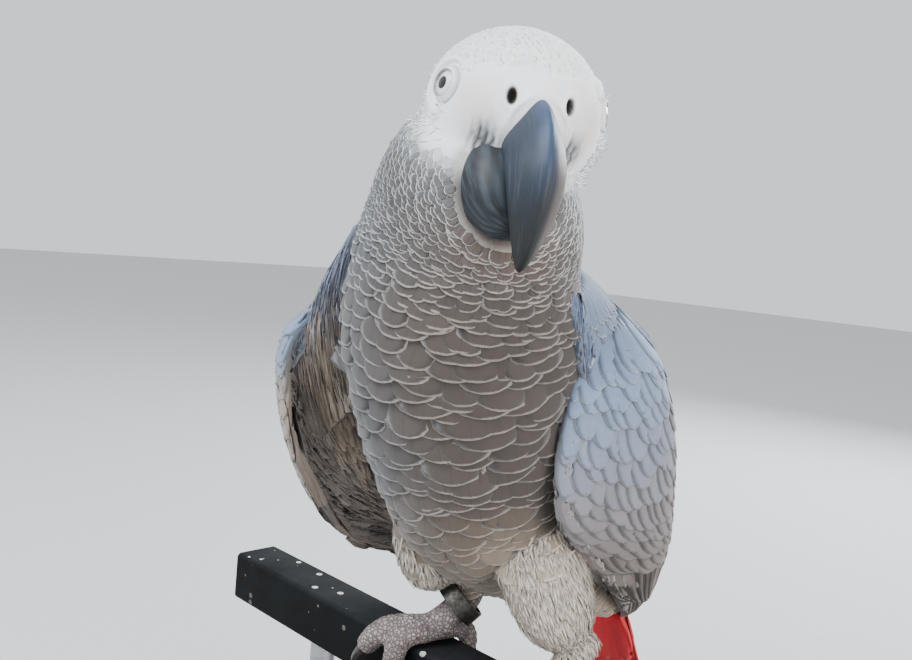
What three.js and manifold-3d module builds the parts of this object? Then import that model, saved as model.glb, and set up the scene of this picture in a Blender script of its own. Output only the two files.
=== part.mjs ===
// A grey parrot as a still, life-size museum model. It grips a cut length of square rail, which a plain
// round stand holds up on two rods. Millimetres, +Z up. The origin is the centre of the stand's underside,
// the rail runs along X, and the bird faces -Y with its head turned to its own left (+X).
import * as THREE from "three";
import { mergeVertices } from "three/addons/utils/BufferGeometryUtils.js";
import Module from "manifold-3d";

const wasm = await Module();
wasm.setup();

// ---------------------------------------------------------------- driving dimensions

const GAP = 0.3; // between two nodes that touch
const WELD = 0.02;

// the stand and the rail
const BASE_RADIUS = 125;
const BASE_THICK = 12;
const BASE_CHAMFER = 2;
const RAIL_SIDE = 16;
const RAIL_LENGTH = 230;
const RAIL_CORNER = 1.5;
const RAIL_TOP = 80; // above the floor
const RAIL_BACK = -34; // the rail's middle, from the stand's centre
const ROD_RADIUS = 4;
const ROD_OUT = 74; // each rod, from the middle of the rail

// the bird's directions, in degrees from -Y towards +X
const BODY_YAW = 18;
const HEAD_YAW = 55.9;
const HEAD_PITCH = 15;
const HEAD_ROLL = 4;
const TAIL_YAW = 26;

// The trunk from inside the head to the tail's root: the spine's place above the middle of the rail's top,
// then half the width and half the depth there.
const TRUNK = [
  [7, -18, 160, 12, 13],
  [4.6, -19, 150, 17.8, 19.2],
  [1.6, -20, 140, 22.7, 23.5],
  [-0.9, -21.5, 129, 26.6, 25.9],
  [-4, -20.6, 118, 28.8, 27.4],
  [-7.7, -18.3, 107, 30.2, 28.6],
  [-11, -14, 94, 32.4, 31],
  [-13.2, -7.7, 79, 32.3, 31.8],
  [-15, -1.5, 63, 30.5, 30.5],
  [-16.5, 6, 47, 27.5, 28],
  [-18, 17, 34, 23.5, 22.5],
  [-16, 30, 23, 19.5, 16.5],
  [-12.5, 43, 14, 15.5, 12],
  [-9.5, 53, 8, 12.5, 8],
  [-8, 61, 0, 10, 3.5],
];
const NECK_CUT = { at: [-6.3, -17.6, 106], normal: [0.29, -0.3, 0.91] };
const HEAD_CUT = { at: [-3.6, -15.7, 135.6], normal: [0.548, -0.336, 0.766] };
const TAIL_CUT = { at: [-12, 44.5, 13], normal: [0.24, 0.77, -0.59] };

// the head, in its own frame: +X its left, -Y forward, +Z up, the origin between and behind the eyes
const HEAD_CENTRE = [5.3, -20.4, 146.6];
const HEAD_HALF = [21.4, 23.2, 18.3];
const EYE_MIDDLE = [15.6, -7.6, 2.2]; // of the ball
const EYE_AXIS = [0.9, -0.39, 0.19]; // the way it looks
const EYE_RADIUS = 5;
const LID_RADIUS = 3.9;
const LID_THICK = 0.9;
const LID_OUT = 3.7; // from the middle of the eye
const NOSTRIL_AT = [6.7, -23.6, 4.6];
const NOSTRIL_HALF = [1.1, 2.6, 1.9];
// bumps that turn the ellipsoid into a skull: direction, height, sharpness
const SKULL_BUMPS = [
  [[0, -1, -0.12], 1.6, 9], // cere and face
  [[0.75, -0.5, -0.55], 0.6, 6], // left cheek
  [[-0.75, -0.5, -0.55], 2.2, 6],
  [[0, -0.62, -0.95], 1.5, 6], // chin
  [[0, -0.35, 1], 0.8, 5], // forehead
  [[0.95, -0.45, 0.1], -0.7, 30], // hollows round the eyes
  [[-0.95, -0.45, 0.1], -0.7, 30],
];

// the bill, in the head's frame: place, half width and half height across each station
const BILL_UPPER = [
  [0, -14, -5, 6.4, 10.6],
  [0, -21, -5.2, 6.5, 10.2],
  [0, -27, -6.6, 6.6, 9.6],
  [0, -31.4, -10, 6.4, 8.2],
  [0, -34, -15.2, 5.5, 6.5],
  [0, -35.2, -20.6, 4.1, 4.5],
  [0, -35.5, -25.6, 2.5, 2.6],
  [0, -35.2, -30, 0.6, 0.6],
];
const BILL_LOWER = [
  [-1, -9, -11, 10.6, 9],
  [-2, -15, -13.2, 11.4, 9.8],
  [-2.6, -21, -16.2, 11, 9.4],
  [-2.6, -25.6, -19.2, 9.2, 7.6],
  [-2.2, -29, -21.6, 6.2, 4.8],
  [-1.8, -31.2, -22.4, 2.4, 2],
];

// Each wing is a curved sheet between three rails from the wrist to the tips of the primaries: the leading
// edge, the middle of the outer face, and the trailing edge.
const LEFT_RAILS = [
  [[15, 4, 95], [19, -4, 80], [19, -6, 63], [18.5, -2, 48], [17.5, 11, 35], [12.5, 31, 21], [6.5, 45, 11.5],
    [2, 53, 6], [-2, 58, 2.5]],
  [[13.5, 16, 103], [24.5, 20.5, 89.5], [27, 29, 69], [25.5, 35, 50], [21.5, 43, 34], [14.5, 50, 21.5],
    [8, 56, 13], [1.5, 61, 6], [-2.5, 64, 1.5]],
  [[-4, 25, 105], [-1, 35, 94], [1.5, 43, 76], [1.5, 49, 59], [-1, 56, 43], [-5.5, 62.5, 29.5], [-7, 66, 19],
    [-4.5, 68, 10], [-4.5, 70, 4.5]],
];
const RIGHT_RAILS = [
  [[-46, -31.5, 97], [-54.5, -37, 84], [-57.5, -35, 68], [-58.5, -30, 51], [-59, -20, 35], [-59, -7, 22],
    [-56, 15, 13], [-49, 36, 4], [-39, 52, -5]],
  [[-51, -15, 102], [-63, -19.5, 87], [-67.5, -16.5, 70], [-68, -8.5, 53], [-67, 1, 38], [-62.5, 15, 26],
    [-57, 33, 16], [-49, 49, 7], [-38, 61, -2]],
  [[-33, 9, 104], [-38, 16, 95], [-44, 25, 80], [-46.5, 34, 63], [-46, 42, 49], [-43.5, 51, 35],
    [-40, 59, 24], [-35, 66, 13], [-28, 71, 3]],
];
// the upper arm, from inside the trunk to inside the wing: the half width at each end
const ARM_HALF = [15, 9];
const WING_THICK = 4; // the sheet without its feathers
const WING_OUT = -1.5; // the sheet's outer face, from the rails' surface
const WING_ARM = 9; // what the arm inside adds near the wrist
const WING_SEED = 1207;

// the tail's fan, from its root
const TAIL_LENGTH = 84;
const TAIL_DROP = 57; // degrees below level
const TAIL_ROOT = [-7.5, 56, 10];
const TAIL_ROOT_WIDTH = 16;
const TAIL_END_WIDTH = 40;
const TAIL_ARCH = 2.5;
const TAIL_STEP = 0.35; // from one feather of the stack to the next
const TAIL_VANE = { width: 8.6, thick: 0.9, tilt: 0, rows: 4 };
const TAIL_COVERT = { width: 11, thick: 1, tilt: 0, rows: 2 };
const TAIL_FEATHERS = 12;
const TAIL_COVERTS = 4;
const TAIL_SEED = 77;
const TAIL_CLEAR = { above: 6, below: 3, beside: 0.16, rows: 6, columns: 4 }; // round the fan

// the legs: the feathered part's stations, the pad that stands on the rail, and the toes
const LEGS = {
  right: {
    side: -1,
    thigh: [
      [-27, 3, 44, 12, 13],
      [-28.5, 1.5, 32, 13.5, 13.5],
      [-28, 2, 23, 11.5, 11.5],
      [-24, 5, 15.5, 7.5, 7.5],
    ],
    heel: [-20, 7, 12.5],
    pad: [-24.5, 0.5, 4.9],
  },
  left: {
    side: 1,
    thigh: [
      [-4, 9, 42, 12, 13],
      [5, 6, 33, 12.6, 13],
      [14, 4.5, 22, 11.2, 11.6],
      [19.5, 6.5, 12, 7, 7.2],
    ],
    heel: [20, 7.5, 12.5],
    pad: [21.5, 0.5, 4.9],
  },
};
const TARSUS_HALF = 4;
// toe: name, degrees out from the way it points (front or back), length, half width
const TOES = [
  ["outer_front", 40, 26, 3.9, -1],
  ["inner_front", 12, 23, 3.6, -1],
  ["outer_back", 30, 26, 3.6, 1],
  ["inner_back", -12, 19, 3.2, 1],
];
const CLAW_LENGTH = 10;
const CLAW_SUNK = 3;
const CLAW_TIP_OFF = 1.4;
const CLAW_ARCH = 1.4;
const TOE_BEND = 4.2; // radius on which a toe rounds the rail's edge
const CLAW_HALF = 1.7;
const RING_INNER = 5.7;
const RING_WALL = 1;
const RING_WIDTH = 5;
const RING_PLACE = 0.2; // of the way from the heel to the pad
const RING_RISE = 0.9;

// ---------------------------------------------------------------- general forms

const v3 = (x, y, z) => new THREE.Vector3(x, y, z);
const vector = (list) => v3(list[0], list[1], list[2]);
const rad = THREE.MathUtils.degToRad;
const UP = v3(0, 0, 1);

// The level direction to the left of whoever faces this many degrees from -Y towards +X.
function leftOf(yaw) {
  return v3(Math.cos(rad(yaw)), Math.sin(rad(yaw)), 0);
}

function solid(geometry) {
  const bare = geometry.clone();
  bare.deleteAttribute("normal");
  bare.deleteAttribute("uv");
  const merged = mergeVertices(bare, 1e-4);
  return new wasm.Manifold(
    new wasm.Mesh({
      numProp: 3,
      vertProperties: merged.attributes.position.array,
      triVerts: new Uint32Array(merged.index.array),
    }),
  );
}

// The largest closed surface of a solid, which drops loose scraps and fills sealed hollows. Corners that
// a cut left closer than WELD become one.
function geometryOf(made) {
  const largest = made.decompose().reduce((a, b) => (b.volume() > a.volume() ? b : a));
  const mesh = largest.getMesh();
  const geometry = new THREE.BufferGeometry();
  geometry.setAttribute("position", new THREE.BufferAttribute(mesh.vertProperties, 3));
  geometry.setIndex(new THREE.BufferAttribute(mesh.triVerts, 1));
  const welded = mergeVertices(geometry, WELD);
  const kept = [];
  for (let i = 0; i < welded.index.count; i += 3) {
    const [a, b, c] = [0, 1, 2].map((corner) => welded.index.getX(i + corner));
    if (a !== b && b !== c && c !== a) kept.push(a, b, c);
  }
  welded.setIndex(kept);
  welded.computeVertexNormals();
  return welded;
}

// Repeatable draws from 0 to 1.
function seeded(seed) {
  let state = seed;
  return () => {
    state = (state * 16807) % 2147483647;
    return state / 2147483647;
  };
}

function union(solids) {
  return solids.reduce((a, b) => a.add(b));
}

// Half the width of a closed form at this share of its length: round at both ends.
function roundEnds(along, blunt) {
  const fromEnd = Math.min(along, 1 - along);
  return fromEnd >= blunt ? 1 : Math.sqrt(1 - (1 - fromEnd / blunt) ** 2);
}

// A closed form along a smooth spine. A station is [x, y, z, half width, half depth], and the width lies
// as near to `side` as the spine allows.
function loft(stations, side, { rings = 20, sides = 18, grow = 0, blunt = 0.12, bumps = () => 1 } = {}) {
  const spine = new THREE.CatmullRomCurve3(stations.map(vector));
  const sizes = new THREE.CatmullRomCurve3(stations.map((s) => v3(s[3], s[4], 0)));
  const form = new THREE.SphereGeometry(1, sides, rings);
  const place = form.attributes.position;
  for (let i = 0; i < place.count; i++) {
    const along = Math.acos(THREE.MathUtils.clamp(place.getY(i), -1, 1)) / Math.PI;
    const around = Math.atan2(place.getZ(i), place.getX(i));
    const tangent = spine.getTangent(along);
    const width = side.clone().addScaledVector(tangent, -side.dot(tangent)).normalize();
    const depth = tangent.clone().cross(width);
    const size = sizes.getPoint(along);
    const share = roundEnds(along, blunt) * bumps(along);
    const point = spine.getPoint(along).addScaledVector(tangent, grow * (2 * along - 1));
    point.addScaledVector(width, (size.x + grow) * share * Math.cos(around));
    point.addScaledVector(depth, (size.y + grow) * share * Math.sin(around));
    place.setXYZ(i, point.x, point.y, point.z);
  }
  return form;
}

// A closed sheet between two faces, each a function of (u, v). Both faces take the same grid of triangles,
// so a thin sheet never crosses itself. `top` lies on the side of du x dv.
function slab(rows, columns, top, bottom) {
  const grid = new THREE.PlaneGeometry(1, 1, columns, rows);
  const across = columns + 1;
  const count = grid.attributes.position.count;
  const points = [top, bottom].flatMap((face) =>
    Array.from({ length: count }, (_, i) => face(Math.floor(i / across) / rows, (i % across) / columns)),
  );
  const faces = Array.from(grid.index.array);
  const index = [...faces];
  for (let i = 0; i < faces.length; i += 3) {
    index.push(faces[i] + count, faces[i + 2] + count, faces[i + 1] + count);
  }
  const rim = [];
  for (let row = 0; row < rows; row++) rim.push(row * across);
  for (let column = 0; column < columns; column++) rim.push(rows * across + column);
  for (let row = rows; row > 0; row--) rim.push(row * across + columns);
  for (let column = columns; column > 0; column--) rim.push(column);
  rim.forEach((a, i) => {
    const b = rim[(i + 1) % rim.length];
    index.push(b, a, a + count, b, a + count, b + count);
  });
  const sheet = new THREE.BufferGeometry().setFromPoints(points);
  sheet.setIndex(index);
  return sheet;
}

// The half of a solid on the far side of a plane, along its normal, clear of the plane by half the gap.
function beyond(made, cut, sense = 1) {
  const reach = 300;
  const normal = vector(cut.normal).normalize().multiplyScalar(sense);
  const box = new THREE.BoxGeometry(2 * reach, 2 * reach, 2 * reach);
  box.applyQuaternion(new THREE.Quaternion().setFromUnitVectors(UP, normal));
  const middle = vector(cut.at).addScaledVector(normal, reach + GAP / 2);
  box.translate(middle.x, middle.y, middle.z);
  return made.intersect(solid(box));
}

// ---------------------------------------------------------------- feathers

// A surface is a function from (u, v) to a point. Its normal comes from two short steps.
function frameOn(surface, u, v) {
  const step = 0.004;
  const point = surface(u, v);
  const du = surface(u + step, v).sub(surface(u - step, v));
  const dv = surface(u, v + step).sub(surface(u, v - step));
  return { point, normal: du.cross(dv).normalize() };
}

// Half the width of a vane at this share of its length: narrow at the root, widest past the middle.
function vaneShape(t) {
  const root = 0.7 + 0.3 * Math.min(1, t / 0.3);
  const tip = t < 0.75 ? 1 : Math.sqrt(Math.max(0, 1 - ((t - 0.75) / 0.26) ** 2));
  return Math.max(0.22, root * tip);
}

// One feather as a thin tapered vane on a surface, from `from` to `to` in (u, v). `out` says which side of
// the surface it lies on. Its root lies `rise` deeper than its tip, and its near edge (low v) is raised by
// `tilt` over its far edge, so that it laps the vane before it.
function vane(surface, out, { from, to, width, thick, lift, tilt, rise = 0, rows = 4 }) {
  const face = (height) => (t, across) => {
    const spread = t ** 0.85; // the rows stand closer near the tip
    const u = THREE.MathUtils.lerp(from[0], to[0], spread);
    const v = THREE.MathUtils.lerp(from[1], to[1], spread);
    const here = frameOn(surface, u, v);
    const ahead = surface(u + (to[0] - from[0]) * 0.01, v + (to[1] - from[1]) * 0.01).sub(here.point);
    const sideways = here.normal.clone().cross(ahead).normalize();
    const taper = 1 - 0.4 * Math.max(0, (spread - 0.7) / 0.3);
    const level = lift + rise * spread + tilt * (0.5 - across) + height * thick * taper;
    here.point.addScaledVector(sideways, (across - 0.5) * width * vaneShape(spread));
    return here.point.addScaledVector(here.normal, out * level);
  };
  const [top, bottom] = out > 0 ? [face(1), face(0)] : [face(0), face(1)];
  return solid(slab(rows, 1, top, bottom));
}

// ---------------------------------------------------------------- head

function skull(grow) {
  const form = new THREE.SphereGeometry(1, 25, 17);
  form.rotateX(Math.PI / 2);
  const place = form.attributes.position;
  const bumps = SKULL_BUMPS.map(([way, height, sharp]) => [vector(way).normalize(), height, sharp]);
  for (let i = 0; i < place.count; i++) {
    const way = vector([place.getX(i), place.getY(i), place.getZ(i)]).normalize();
    const point = way.clone().multiply(vector(HEAD_HALF));
    let raise = grow;
    for (const [at, height, sharp] of bumps) raise += height * Math.exp(sharp * (way.dot(at) - 1));
    point.addScaledVector(way, raise);
    place.setXYZ(i, point.x, point.y, point.z);
  }
  return form;
}

const headPose = new THREE.Matrix4().makeRotationFromEuler(
  new THREE.Euler(rad(HEAD_PITCH), rad(HEAD_ROLL), rad(HEAD_YAW), "ZXY"),
);
headPose.setPosition(vector(HEAD_CENTRE));
const inBird = (geometry) => geometry.applyMatrix4(headPose);

const mirrored = ([x, y, z], side) => v3(side * x, y, z);

function eyeBall(side, grow = 0) {
  const ball = new THREE.SphereGeometry(EYE_RADIUS + grow, 14, 9);
  return inBird(ball.translate(...mirrored(EYE_MIDDLE, side)));
}

// The ring of lids round an eye, which stands a little proud of the face.
function lids(side) {
  const ring = new THREE.TorusGeometry(LID_RADIUS, LID_THICK, 6, 14);
  const axis = mirrored(EYE_AXIS, side).normalize();
  ring.applyQuaternion(new THREE.Quaternion().setFromUnitVectors(UP, axis));
  return inBird(ring.translate(...mirrored(EYE_MIDDLE, side).addScaledVector(axis, LID_OUT)));
}

function nostril(side) {
  const pit = new THREE.SphereGeometry(1, 8, 6);
  pit.scale(...NOSTRIL_HALF);
  pit.translate(side * NOSTRIL_AT[0], NOSTRIL_AT[1], NOSTRIL_AT[2]);
  return inBird(pit);
}

// ---------------------------------------------------------------- trunk

const bodyLeft = leftOf(BODY_YAW);
function trunk(grow) {
  return solid(loft(TRUNK, bodyLeft, { rings: 28, sides: 22, grow, blunt: 0.05 }));
}

const headSolid = solid(inBird(skull(0)));
const whole = headSolid.add(trunk(0));
const wholeClear = solid(inBird(skull(GAP))).add(trunk(GAP));

const billShape = (stations, grow = 0) =>
  solid(inBird(loft(stations, v3(1, 0, 0), { grow, rings: 15, sides: 14, blunt: 0.06 })));
const billClear = (stations) => billShape(stations, GAP);

function headNode() {
  let made = beyond(whole, HEAD_CUT);
  for (const side of [-1, 1]) {
    made = made.add(solid(lids(side)));
  }
  for (const side of [-1, 1]) {
    made = made.subtract(solid(eyeBall(side, GAP))).subtract(solid(nostril(side)));
  }
  return made.subtract(billClear(BILL_UPPER)).subtract(billClear(BILL_LOWER));
}

const BILL_CORE = 16; // radius of the skull's core
// The bill's two halves stop short of the skull's core, and the lower one is cut clear of the upper.
const CORE_CUT = new THREE.SphereGeometry(BILL_CORE, 12, 8);
function billNode(stations, clearOf = null) {
  let made = beyond(billShape(stations), HEAD_CUT).subtract(solid(inBird(CORE_CUT.clone())));
  if (clearOf) made = made.subtract(billClear(clearOf));
  return made;
}

// ---------------------------------------------------------------- wings

function wingSurface(rails) {
  const curves = rails.map((rail) => new THREE.CatmullRomCurve3(rail.map(vector)));
  return (u, v) => {
    const held = THREE.MathUtils.clamp(u, 0, 1);
    const [front, middle, back] = curves.map((curve) => curve.getPoint(held));
    front.multiplyScalar(2 * (v - 0.5) * (v - 1));
    front.addScaledVector(middle, 4 * v * (1 - v));
    return front.addScaledVector(back, 2 * v * (v - 0.5));
  };
}

// tiers from the tips to the wrist: how many, where the first and last roots and tips lie along the wing,
// where the first and last root and tip lie across it, then the sizes of a vane
const WING_TIERS = [
  { count: 6, roots: [0.42, 0.5], tips: [0.985, 0.83], rootAcross: [0.1, 0.7], tipAcross: [0.3, 0.72],
    width: 7.6, thick: 0.8, lift: -2.4, tilt: 1.7, rise: 2, rows: 3 },
  { count: 6, roots: [0.32, 0.32], tips: [0.68, 0.74], rootAcross: [0.1, 0.88], tipAcross: [0.1, 0.86],
    width: 12.5, thick: 0.75, lift: -2, tilt: 1.5, rise: 3.3, rows: 3 },
  { count: 6, roots: [0.19, 0.19], tips: [0.46, 0.48], rootAcross: [0.1, 0.9], tipAcross: [0.08, 0.9],
    width: 13, thick: 0.75, lift: -1.9, tilt: 1.5, rise: 3.7, rows: 3 },
  { count: 5, roots: [0.07, 0.07], tips: [0.3, 0.3], rootAcross: [0.16, 0.84], tipAcross: [0.12, 0.88],
    width: 14, thick: 0.75, lift: -1.8, tilt: 1.5, rise: 3.9, rows: 3 },
];

function wingFeathers(surface, out) {
  const draw = seeded(WING_SEED);
  return WING_TIERS.flatMap(({ count, roots, tips, rootAcross, tipAcross, ...sizes }) =>
    Array.from({ length: count }, (_, i) => {
      const between = ([first, last]) => THREE.MathUtils.lerp(first, last, i / (count - 1));
      return vane(surface, out, {
        from: [between(roots), between(rootAcross)],
        to: [between(tips) + 0.008 * (draw() - 0.5), between(tipAcross)],
        ...sizes,
      });
    }),
  );
}

// The upper arm and the feathers over it, which join the wing to the trunk.
function armForm(surface, out) {
  const places = [[0.14, 0.4, 8], [0.32, 0.4, 6]].map(([u, v, deep]) => {
    const here = frameOn(surface, u, v);
    return here.point.addScaledVector(here.normal, -out * deep);
  });
  const [wide, slim] = ARM_HALF;
  const inside = vector(TRUNK[6]).lerp(places[0], 0.35).addScaledVector(UP, -4);
  const stations = [
    [...inside.toArray(), wide, wide],
    [...inside.lerp(places[0], 0.55).toArray(), wide * 0.9, wide * 0.85],
    [...places[0].toArray(), slim * 1.2, slim],
    [...places[1].toArray(), slim * 0.7, slim * 0.6],
  ];
  return solid(loft(stations, UP, { rings: 8, sides: 10, blunt: 0.2 }));
}

const thighsClear = union(Object.values(LEGS).map((leg) => thighForm(leg, GAP)));
function wingNode(rails, out) {
  const surface = wingSurface(rails);
  const inner = (u, v) => {
    const arm = WING_ARM * Math.exp(-(((u - 0.12) / 0.2) ** 2)) * Math.sin(Math.PI * Math.min(1, 0.25 + v));
    return WING_THICK + arm - 2 * Math.max(0, u - 0.6);
  };
  const edge = (v) => Math.sqrt(Math.max(0.02, 1 - (2 * v - 1) ** 4));
  const face = (level) => (share, v) => {
    const u = THREE.MathUtils.lerp(0.02, 0.74 - 0.09 * v, share);
    const here = frameOn(surface, u, v);
    return here.point.addScaledVector(here.normal, out * level(u, v) * edge(v));
  };
  const outside = face(() => WING_OUT);
  const inside = face((u, v) => -inner(u, v));
  const [top, bottom] = out > 0 ? [outside, inside] : [inside, outside];
  const sheet = solid(slab(8, 4, top, bottom));
  const made = union([sheet, armForm(surface, out), ...wingFeathers(surface, out)]);
  return made.subtract(wholeClear).subtract(thighsClear).subtract(tailClear());
}

// ---------------------------------------------------------------- tail

const tailLeft = leftOf(TAIL_YAW);
const tailBack = v3(-Math.sin(rad(TAIL_YAW)), Math.cos(rad(TAIL_YAW)), 0);
const tailAlong = tailBack.clone().multiplyScalar(Math.cos(rad(TAIL_DROP)));
tailAlong.addScaledVector(UP, -Math.sin(rad(TAIL_DROP)));
const tailUp = tailLeft.clone().cross(tailAlong);

function tailSurface(u, v) {
  const across = 2 * v - 1;
  const half = THREE.MathUtils.lerp(TAIL_ROOT_WIDTH, TAIL_END_WIDTH, u) / 2;
  const point = vector(TAIL_ROOT).addScaledVector(tailAlong, u * TAIL_LENGTH);
  point.addScaledVector(tailLeft, across * half);
  return point.addScaledVector(tailUp, -TAIL_ARCH * across * across - 2 + 2 * u);
}

const tailOut = tailLeft.clone().cross(tailAlong).dot(tailUp) < 0 ? 1 : -1;

// What the wings stay clear of: the whole fan with its coverts.
function tailClear() {
  const face = (level) => (u, across) => {
    const v = THREE.MathUtils.lerp(-TAIL_CLEAR.beside, 1 + TAIL_CLEAR.beside, across);
    return tailSurface(u, v).addScaledVector(tailUp, level);
  };
  const [above, below] = [face(TAIL_CLEAR.above), face(-TAIL_CLEAR.below)];
  const [top, bottom] = tailOut > 0 ? [above, below] : [below, above];
  return solid(slab(TAIL_CLEAR.rows, TAIL_CLEAR.columns, top, bottom));
}

// The tail feathers lie over one another in a stack, from the outer ones up to the middle pair, and short
// coverts cover their roots above and below.
function tailNode() {
  const draw = seeded(TAIL_SEED);
  const last = TAIL_FEATHERS - 1;
  const feathers = Array.from({ length: TAIL_FEATHERS }, (_, i) => {
    const rank = 2 * Math.min(i, last - i) + (i > last / 2 ? 1 : 0);
    const fromMiddle = Math.abs((2 * i) / last - 1);
    return vane(tailSurface, tailOut, {
      from: [0.1, 0.5 + (i / last - 0.5) * 0.8],
      to: [1 - 0.06 * fromMiddle + 0.01 * (draw() - 0.5), i / last],
      lift: TAIL_STEP * rank,
      ...TAIL_VANE,
    });
  });
  const coverts = [1, -1].flatMap((face) =>
    Array.from({ length: TAIL_COVERTS }, (_, i) => {
      const v = i / (TAIL_COVERTS - 1);
      return vane(tailSurface, tailOut, {
        from: [0.06, 0.2 + 0.6 * v],
        to: [0.42 + 0.06 * draw() + 0.08 * Math.sin(Math.PI * v), 0.14 + 0.72 * v],
        lift: face > 0 ? 1 + 3.4 * Math.sin(Math.PI * v) : -1.7 - 0.5 * (i % 2),
        ...TAIL_COVERT,
      });
    }),
  );
  return union([beyond(whole, TAIL_CUT), ...feathers, ...coverts]);
}

// ---------------------------------------------------------------- legs and feet

const railClear = new THREE.BoxGeometry(RAIL_LENGTH + 20, RAIL_SIDE + 2 * GAP, RAIL_SIDE + 2 * GAP);
railClear.translate(0, 0, -RAIL_SIDE / 2);

function thighForm(leg, grow = 0) {
  return solid(loft(leg.thigh, leftOf(0), { rings: 12, sides: 16, grow, blunt: 0.2 }));
}

// The place of a point that has gone `along` over the rail's top and down its face, `off` from its surface.
function overRail(along, off) {
  const flat = RAIL_SIDE / 2;
  const corner = TOE_BEND * (Math.PI / 2);
  if (along <= flat) return [along, off];
  if (along >= flat + corner) return [flat + off, -(along - flat - corner)];
  const turn = ((along - flat) / corner) * (Math.PI / 2);
  return [flat + off * Math.sin(turn), off * Math.cos(turn)];
}

function toePoint(leg, toe, along, off) {
  const [, splay, , , way] = toe;
  const [out, height] = overRail(along * Math.cos(rad(splay)), off);
  const x = leg.pad[0] + leg.side * along * Math.sin(rad(splay));
  return [x, way * out, height];
}

function toeForm(leg, toe, grow = 0) {
  const [, , length, half] = toe;
  const stations = Array.from({ length: 7 }, (_, i) => {
    const share = i / 6;
    const size = half * (1 - 0.16 * share);
    return [...toePoint(leg, toe, share * length, size + GAP), size, size];
  });
  const bumps = (t) => 1 + 0.06 * Math.cos(2 * Math.PI * 3 * t);
  return solid(loft(stations, leftOf(0), { rings: 8, sides: 8, grow, blunt: 0.1, bumps }));
}

function clawForm(leg, toe) {
  const [, , length, half] = toe;
  const stations = Array.from({ length: 6 }, (_, i) => {
    const share = i / 5;
    const size = CLAW_HALF * (1 - 0.85 * share) + 0.15;
    const arch = CLAW_ARCH * Math.sin(Math.PI * share);
    const off = THREE.MathUtils.lerp(half * 0.84 + GAP, CLAW_TIP_OFF, share ** 1.6) + arch;
    const along = length - CLAW_SUNK + share * (CLAW_LENGTH + CLAW_SUNK);
    return [...toePoint(leg, toe, along, off), size, size * 1.25];
  });
  return solid(loft(stations, leftOf(0), { rings: 6, sides: 6, blunt: 0.08 }));
}

function footForm(leg, grow = 0) {
  const middle = vector(leg.heel).lerp(vector(leg.pad), 0.5);
  const shank = [
    [leg.heel[0], leg.heel[1] + 3, leg.heel[2] + 4, TARSUS_HALF, TARSUS_HALF],
    [...leg.heel, TARSUS_HALF, TARSUS_HALF],
    [...middle.toArray(), TARSUS_HALF, TARSUS_HALF],
    [...leg.pad, TARSUS_HALF + 0.5, TARSUS_HALF],
    [leg.pad[0] - leg.side * 0.5, leg.pad[1] - 4, leg.pad[2] - 0.4, TARSUS_HALF, TARSUS_HALF - 0.4],
  ];
  const tarsus = solid(loft(shank, leftOf(0), { rings: 9, sides: 10, grow, blunt: 0.12 }));
  return union([tarsus, ...TOES.map((toe) => toeForm(leg, toe, grow))]);
}

function onTarsus(geometry, leg) {
  const along = vector(leg.heel).sub(vector(leg.pad)).normalize();
  geometry.applyQuaternion(new THREE.Quaternion().setFromUnitVectors(v3(0, 1, 0), along));
  const middle = vector(leg.heel).lerp(vector(leg.pad), RING_PLACE).addScaledVector(UP, RING_RISE);
  return geometry.translate(...middle);
}

function ringForm(leg) {
  const profile = [
    [RING_INNER, -RING_WIDTH / 2],
    [RING_INNER + RING_WALL, -RING_WIDTH / 2],
    [RING_INNER + RING_WALL, RING_WIDTH / 2],
    [RING_INNER, RING_WIDTH / 2],
    [RING_INNER, -RING_WIDTH / 2],
  ];
  return onTarsus(new THREE.LatheGeometry(profile.map(([r, y]) => new THREE.Vector2(r, y)), 24), leg);
}

// The room that the ring takes out of the feathers above it.
const ringOuter = RING_INNER + RING_WALL + GAP;
const ringRoom = solid(
  onTarsus(new THREE.CylinderGeometry(ringOuter, ringOuter, RING_WIDTH + 2 * GAP, 28), LEGS.right),
);

// ---------------------------------------------------------------- rail and stand

function railForm() {
  const half = RAIL_SIDE / 2;
  const inner = half - RAIL_CORNER;
  const section = new THREE.Shape();
  section.absarc(inner, inner, RAIL_CORNER, 0, Math.PI / 2);
  section.absarc(-inner, inner, RAIL_CORNER, Math.PI / 2, Math.PI);
  section.absarc(-inner, -inner, RAIL_CORNER, Math.PI, Math.PI * 1.5);
  section.absarc(inner, -inner, RAIL_CORNER, Math.PI * 1.5, Math.PI * 2);
  const sizes = { depth: RAIL_LENGTH, bevelEnabled: false, curveSegments: 3 };
  const bar = new THREE.ExtrudeGeometry(section, sizes);
  bar.translate(0, 0, -RAIL_LENGTH / 2);
  bar.rotateY(Math.PI / 2);
  return bar;
}

function baseForm() {
  const profile = [
    [0, 0],
    [BASE_RADIUS, 0],
    [BASE_RADIUS, BASE_THICK - BASE_CHAMFER],
    [BASE_RADIUS - BASE_CHAMFER, BASE_THICK],
    [0, BASE_THICK],
  ];
  const disc = new THREE.LatheGeometry(profile.map(([r, y]) => new THREE.Vector2(r, y)), 48);
  disc.rotateX(Math.PI / 2);
  return disc;
}

const ROD_LOW = BASE_THICK + GAP;
const ROD_HIGH = RAIL_TOP - RAIL_SIDE - GAP;
function rodForm() {
  const rod = new THREE.CylinderGeometry(ROD_RADIUS, ROD_RADIUS, ROD_HIGH - ROD_LOW, 16);
  rod.rotateX(Math.PI / 2);
  return rod;
}

// ---------------------------------------------------------------- the group

function material(colour, roughness, metalness = 0) {
  return new THREE.MeshStandardMaterial({ color: colour, roughness, metalness });
}

const model = new THREE.Group();
const bird = new THREE.Group();
bird.position.set(0, RAIL_BACK, RAIL_TOP);
model.add(bird);

function addNode(parent, name, geometry, look) {
  const mesh = new THREE.Mesh(geometry, look);
  mesh.name = name;
  parent.add(mesh);
  return mesh;
}

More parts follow.
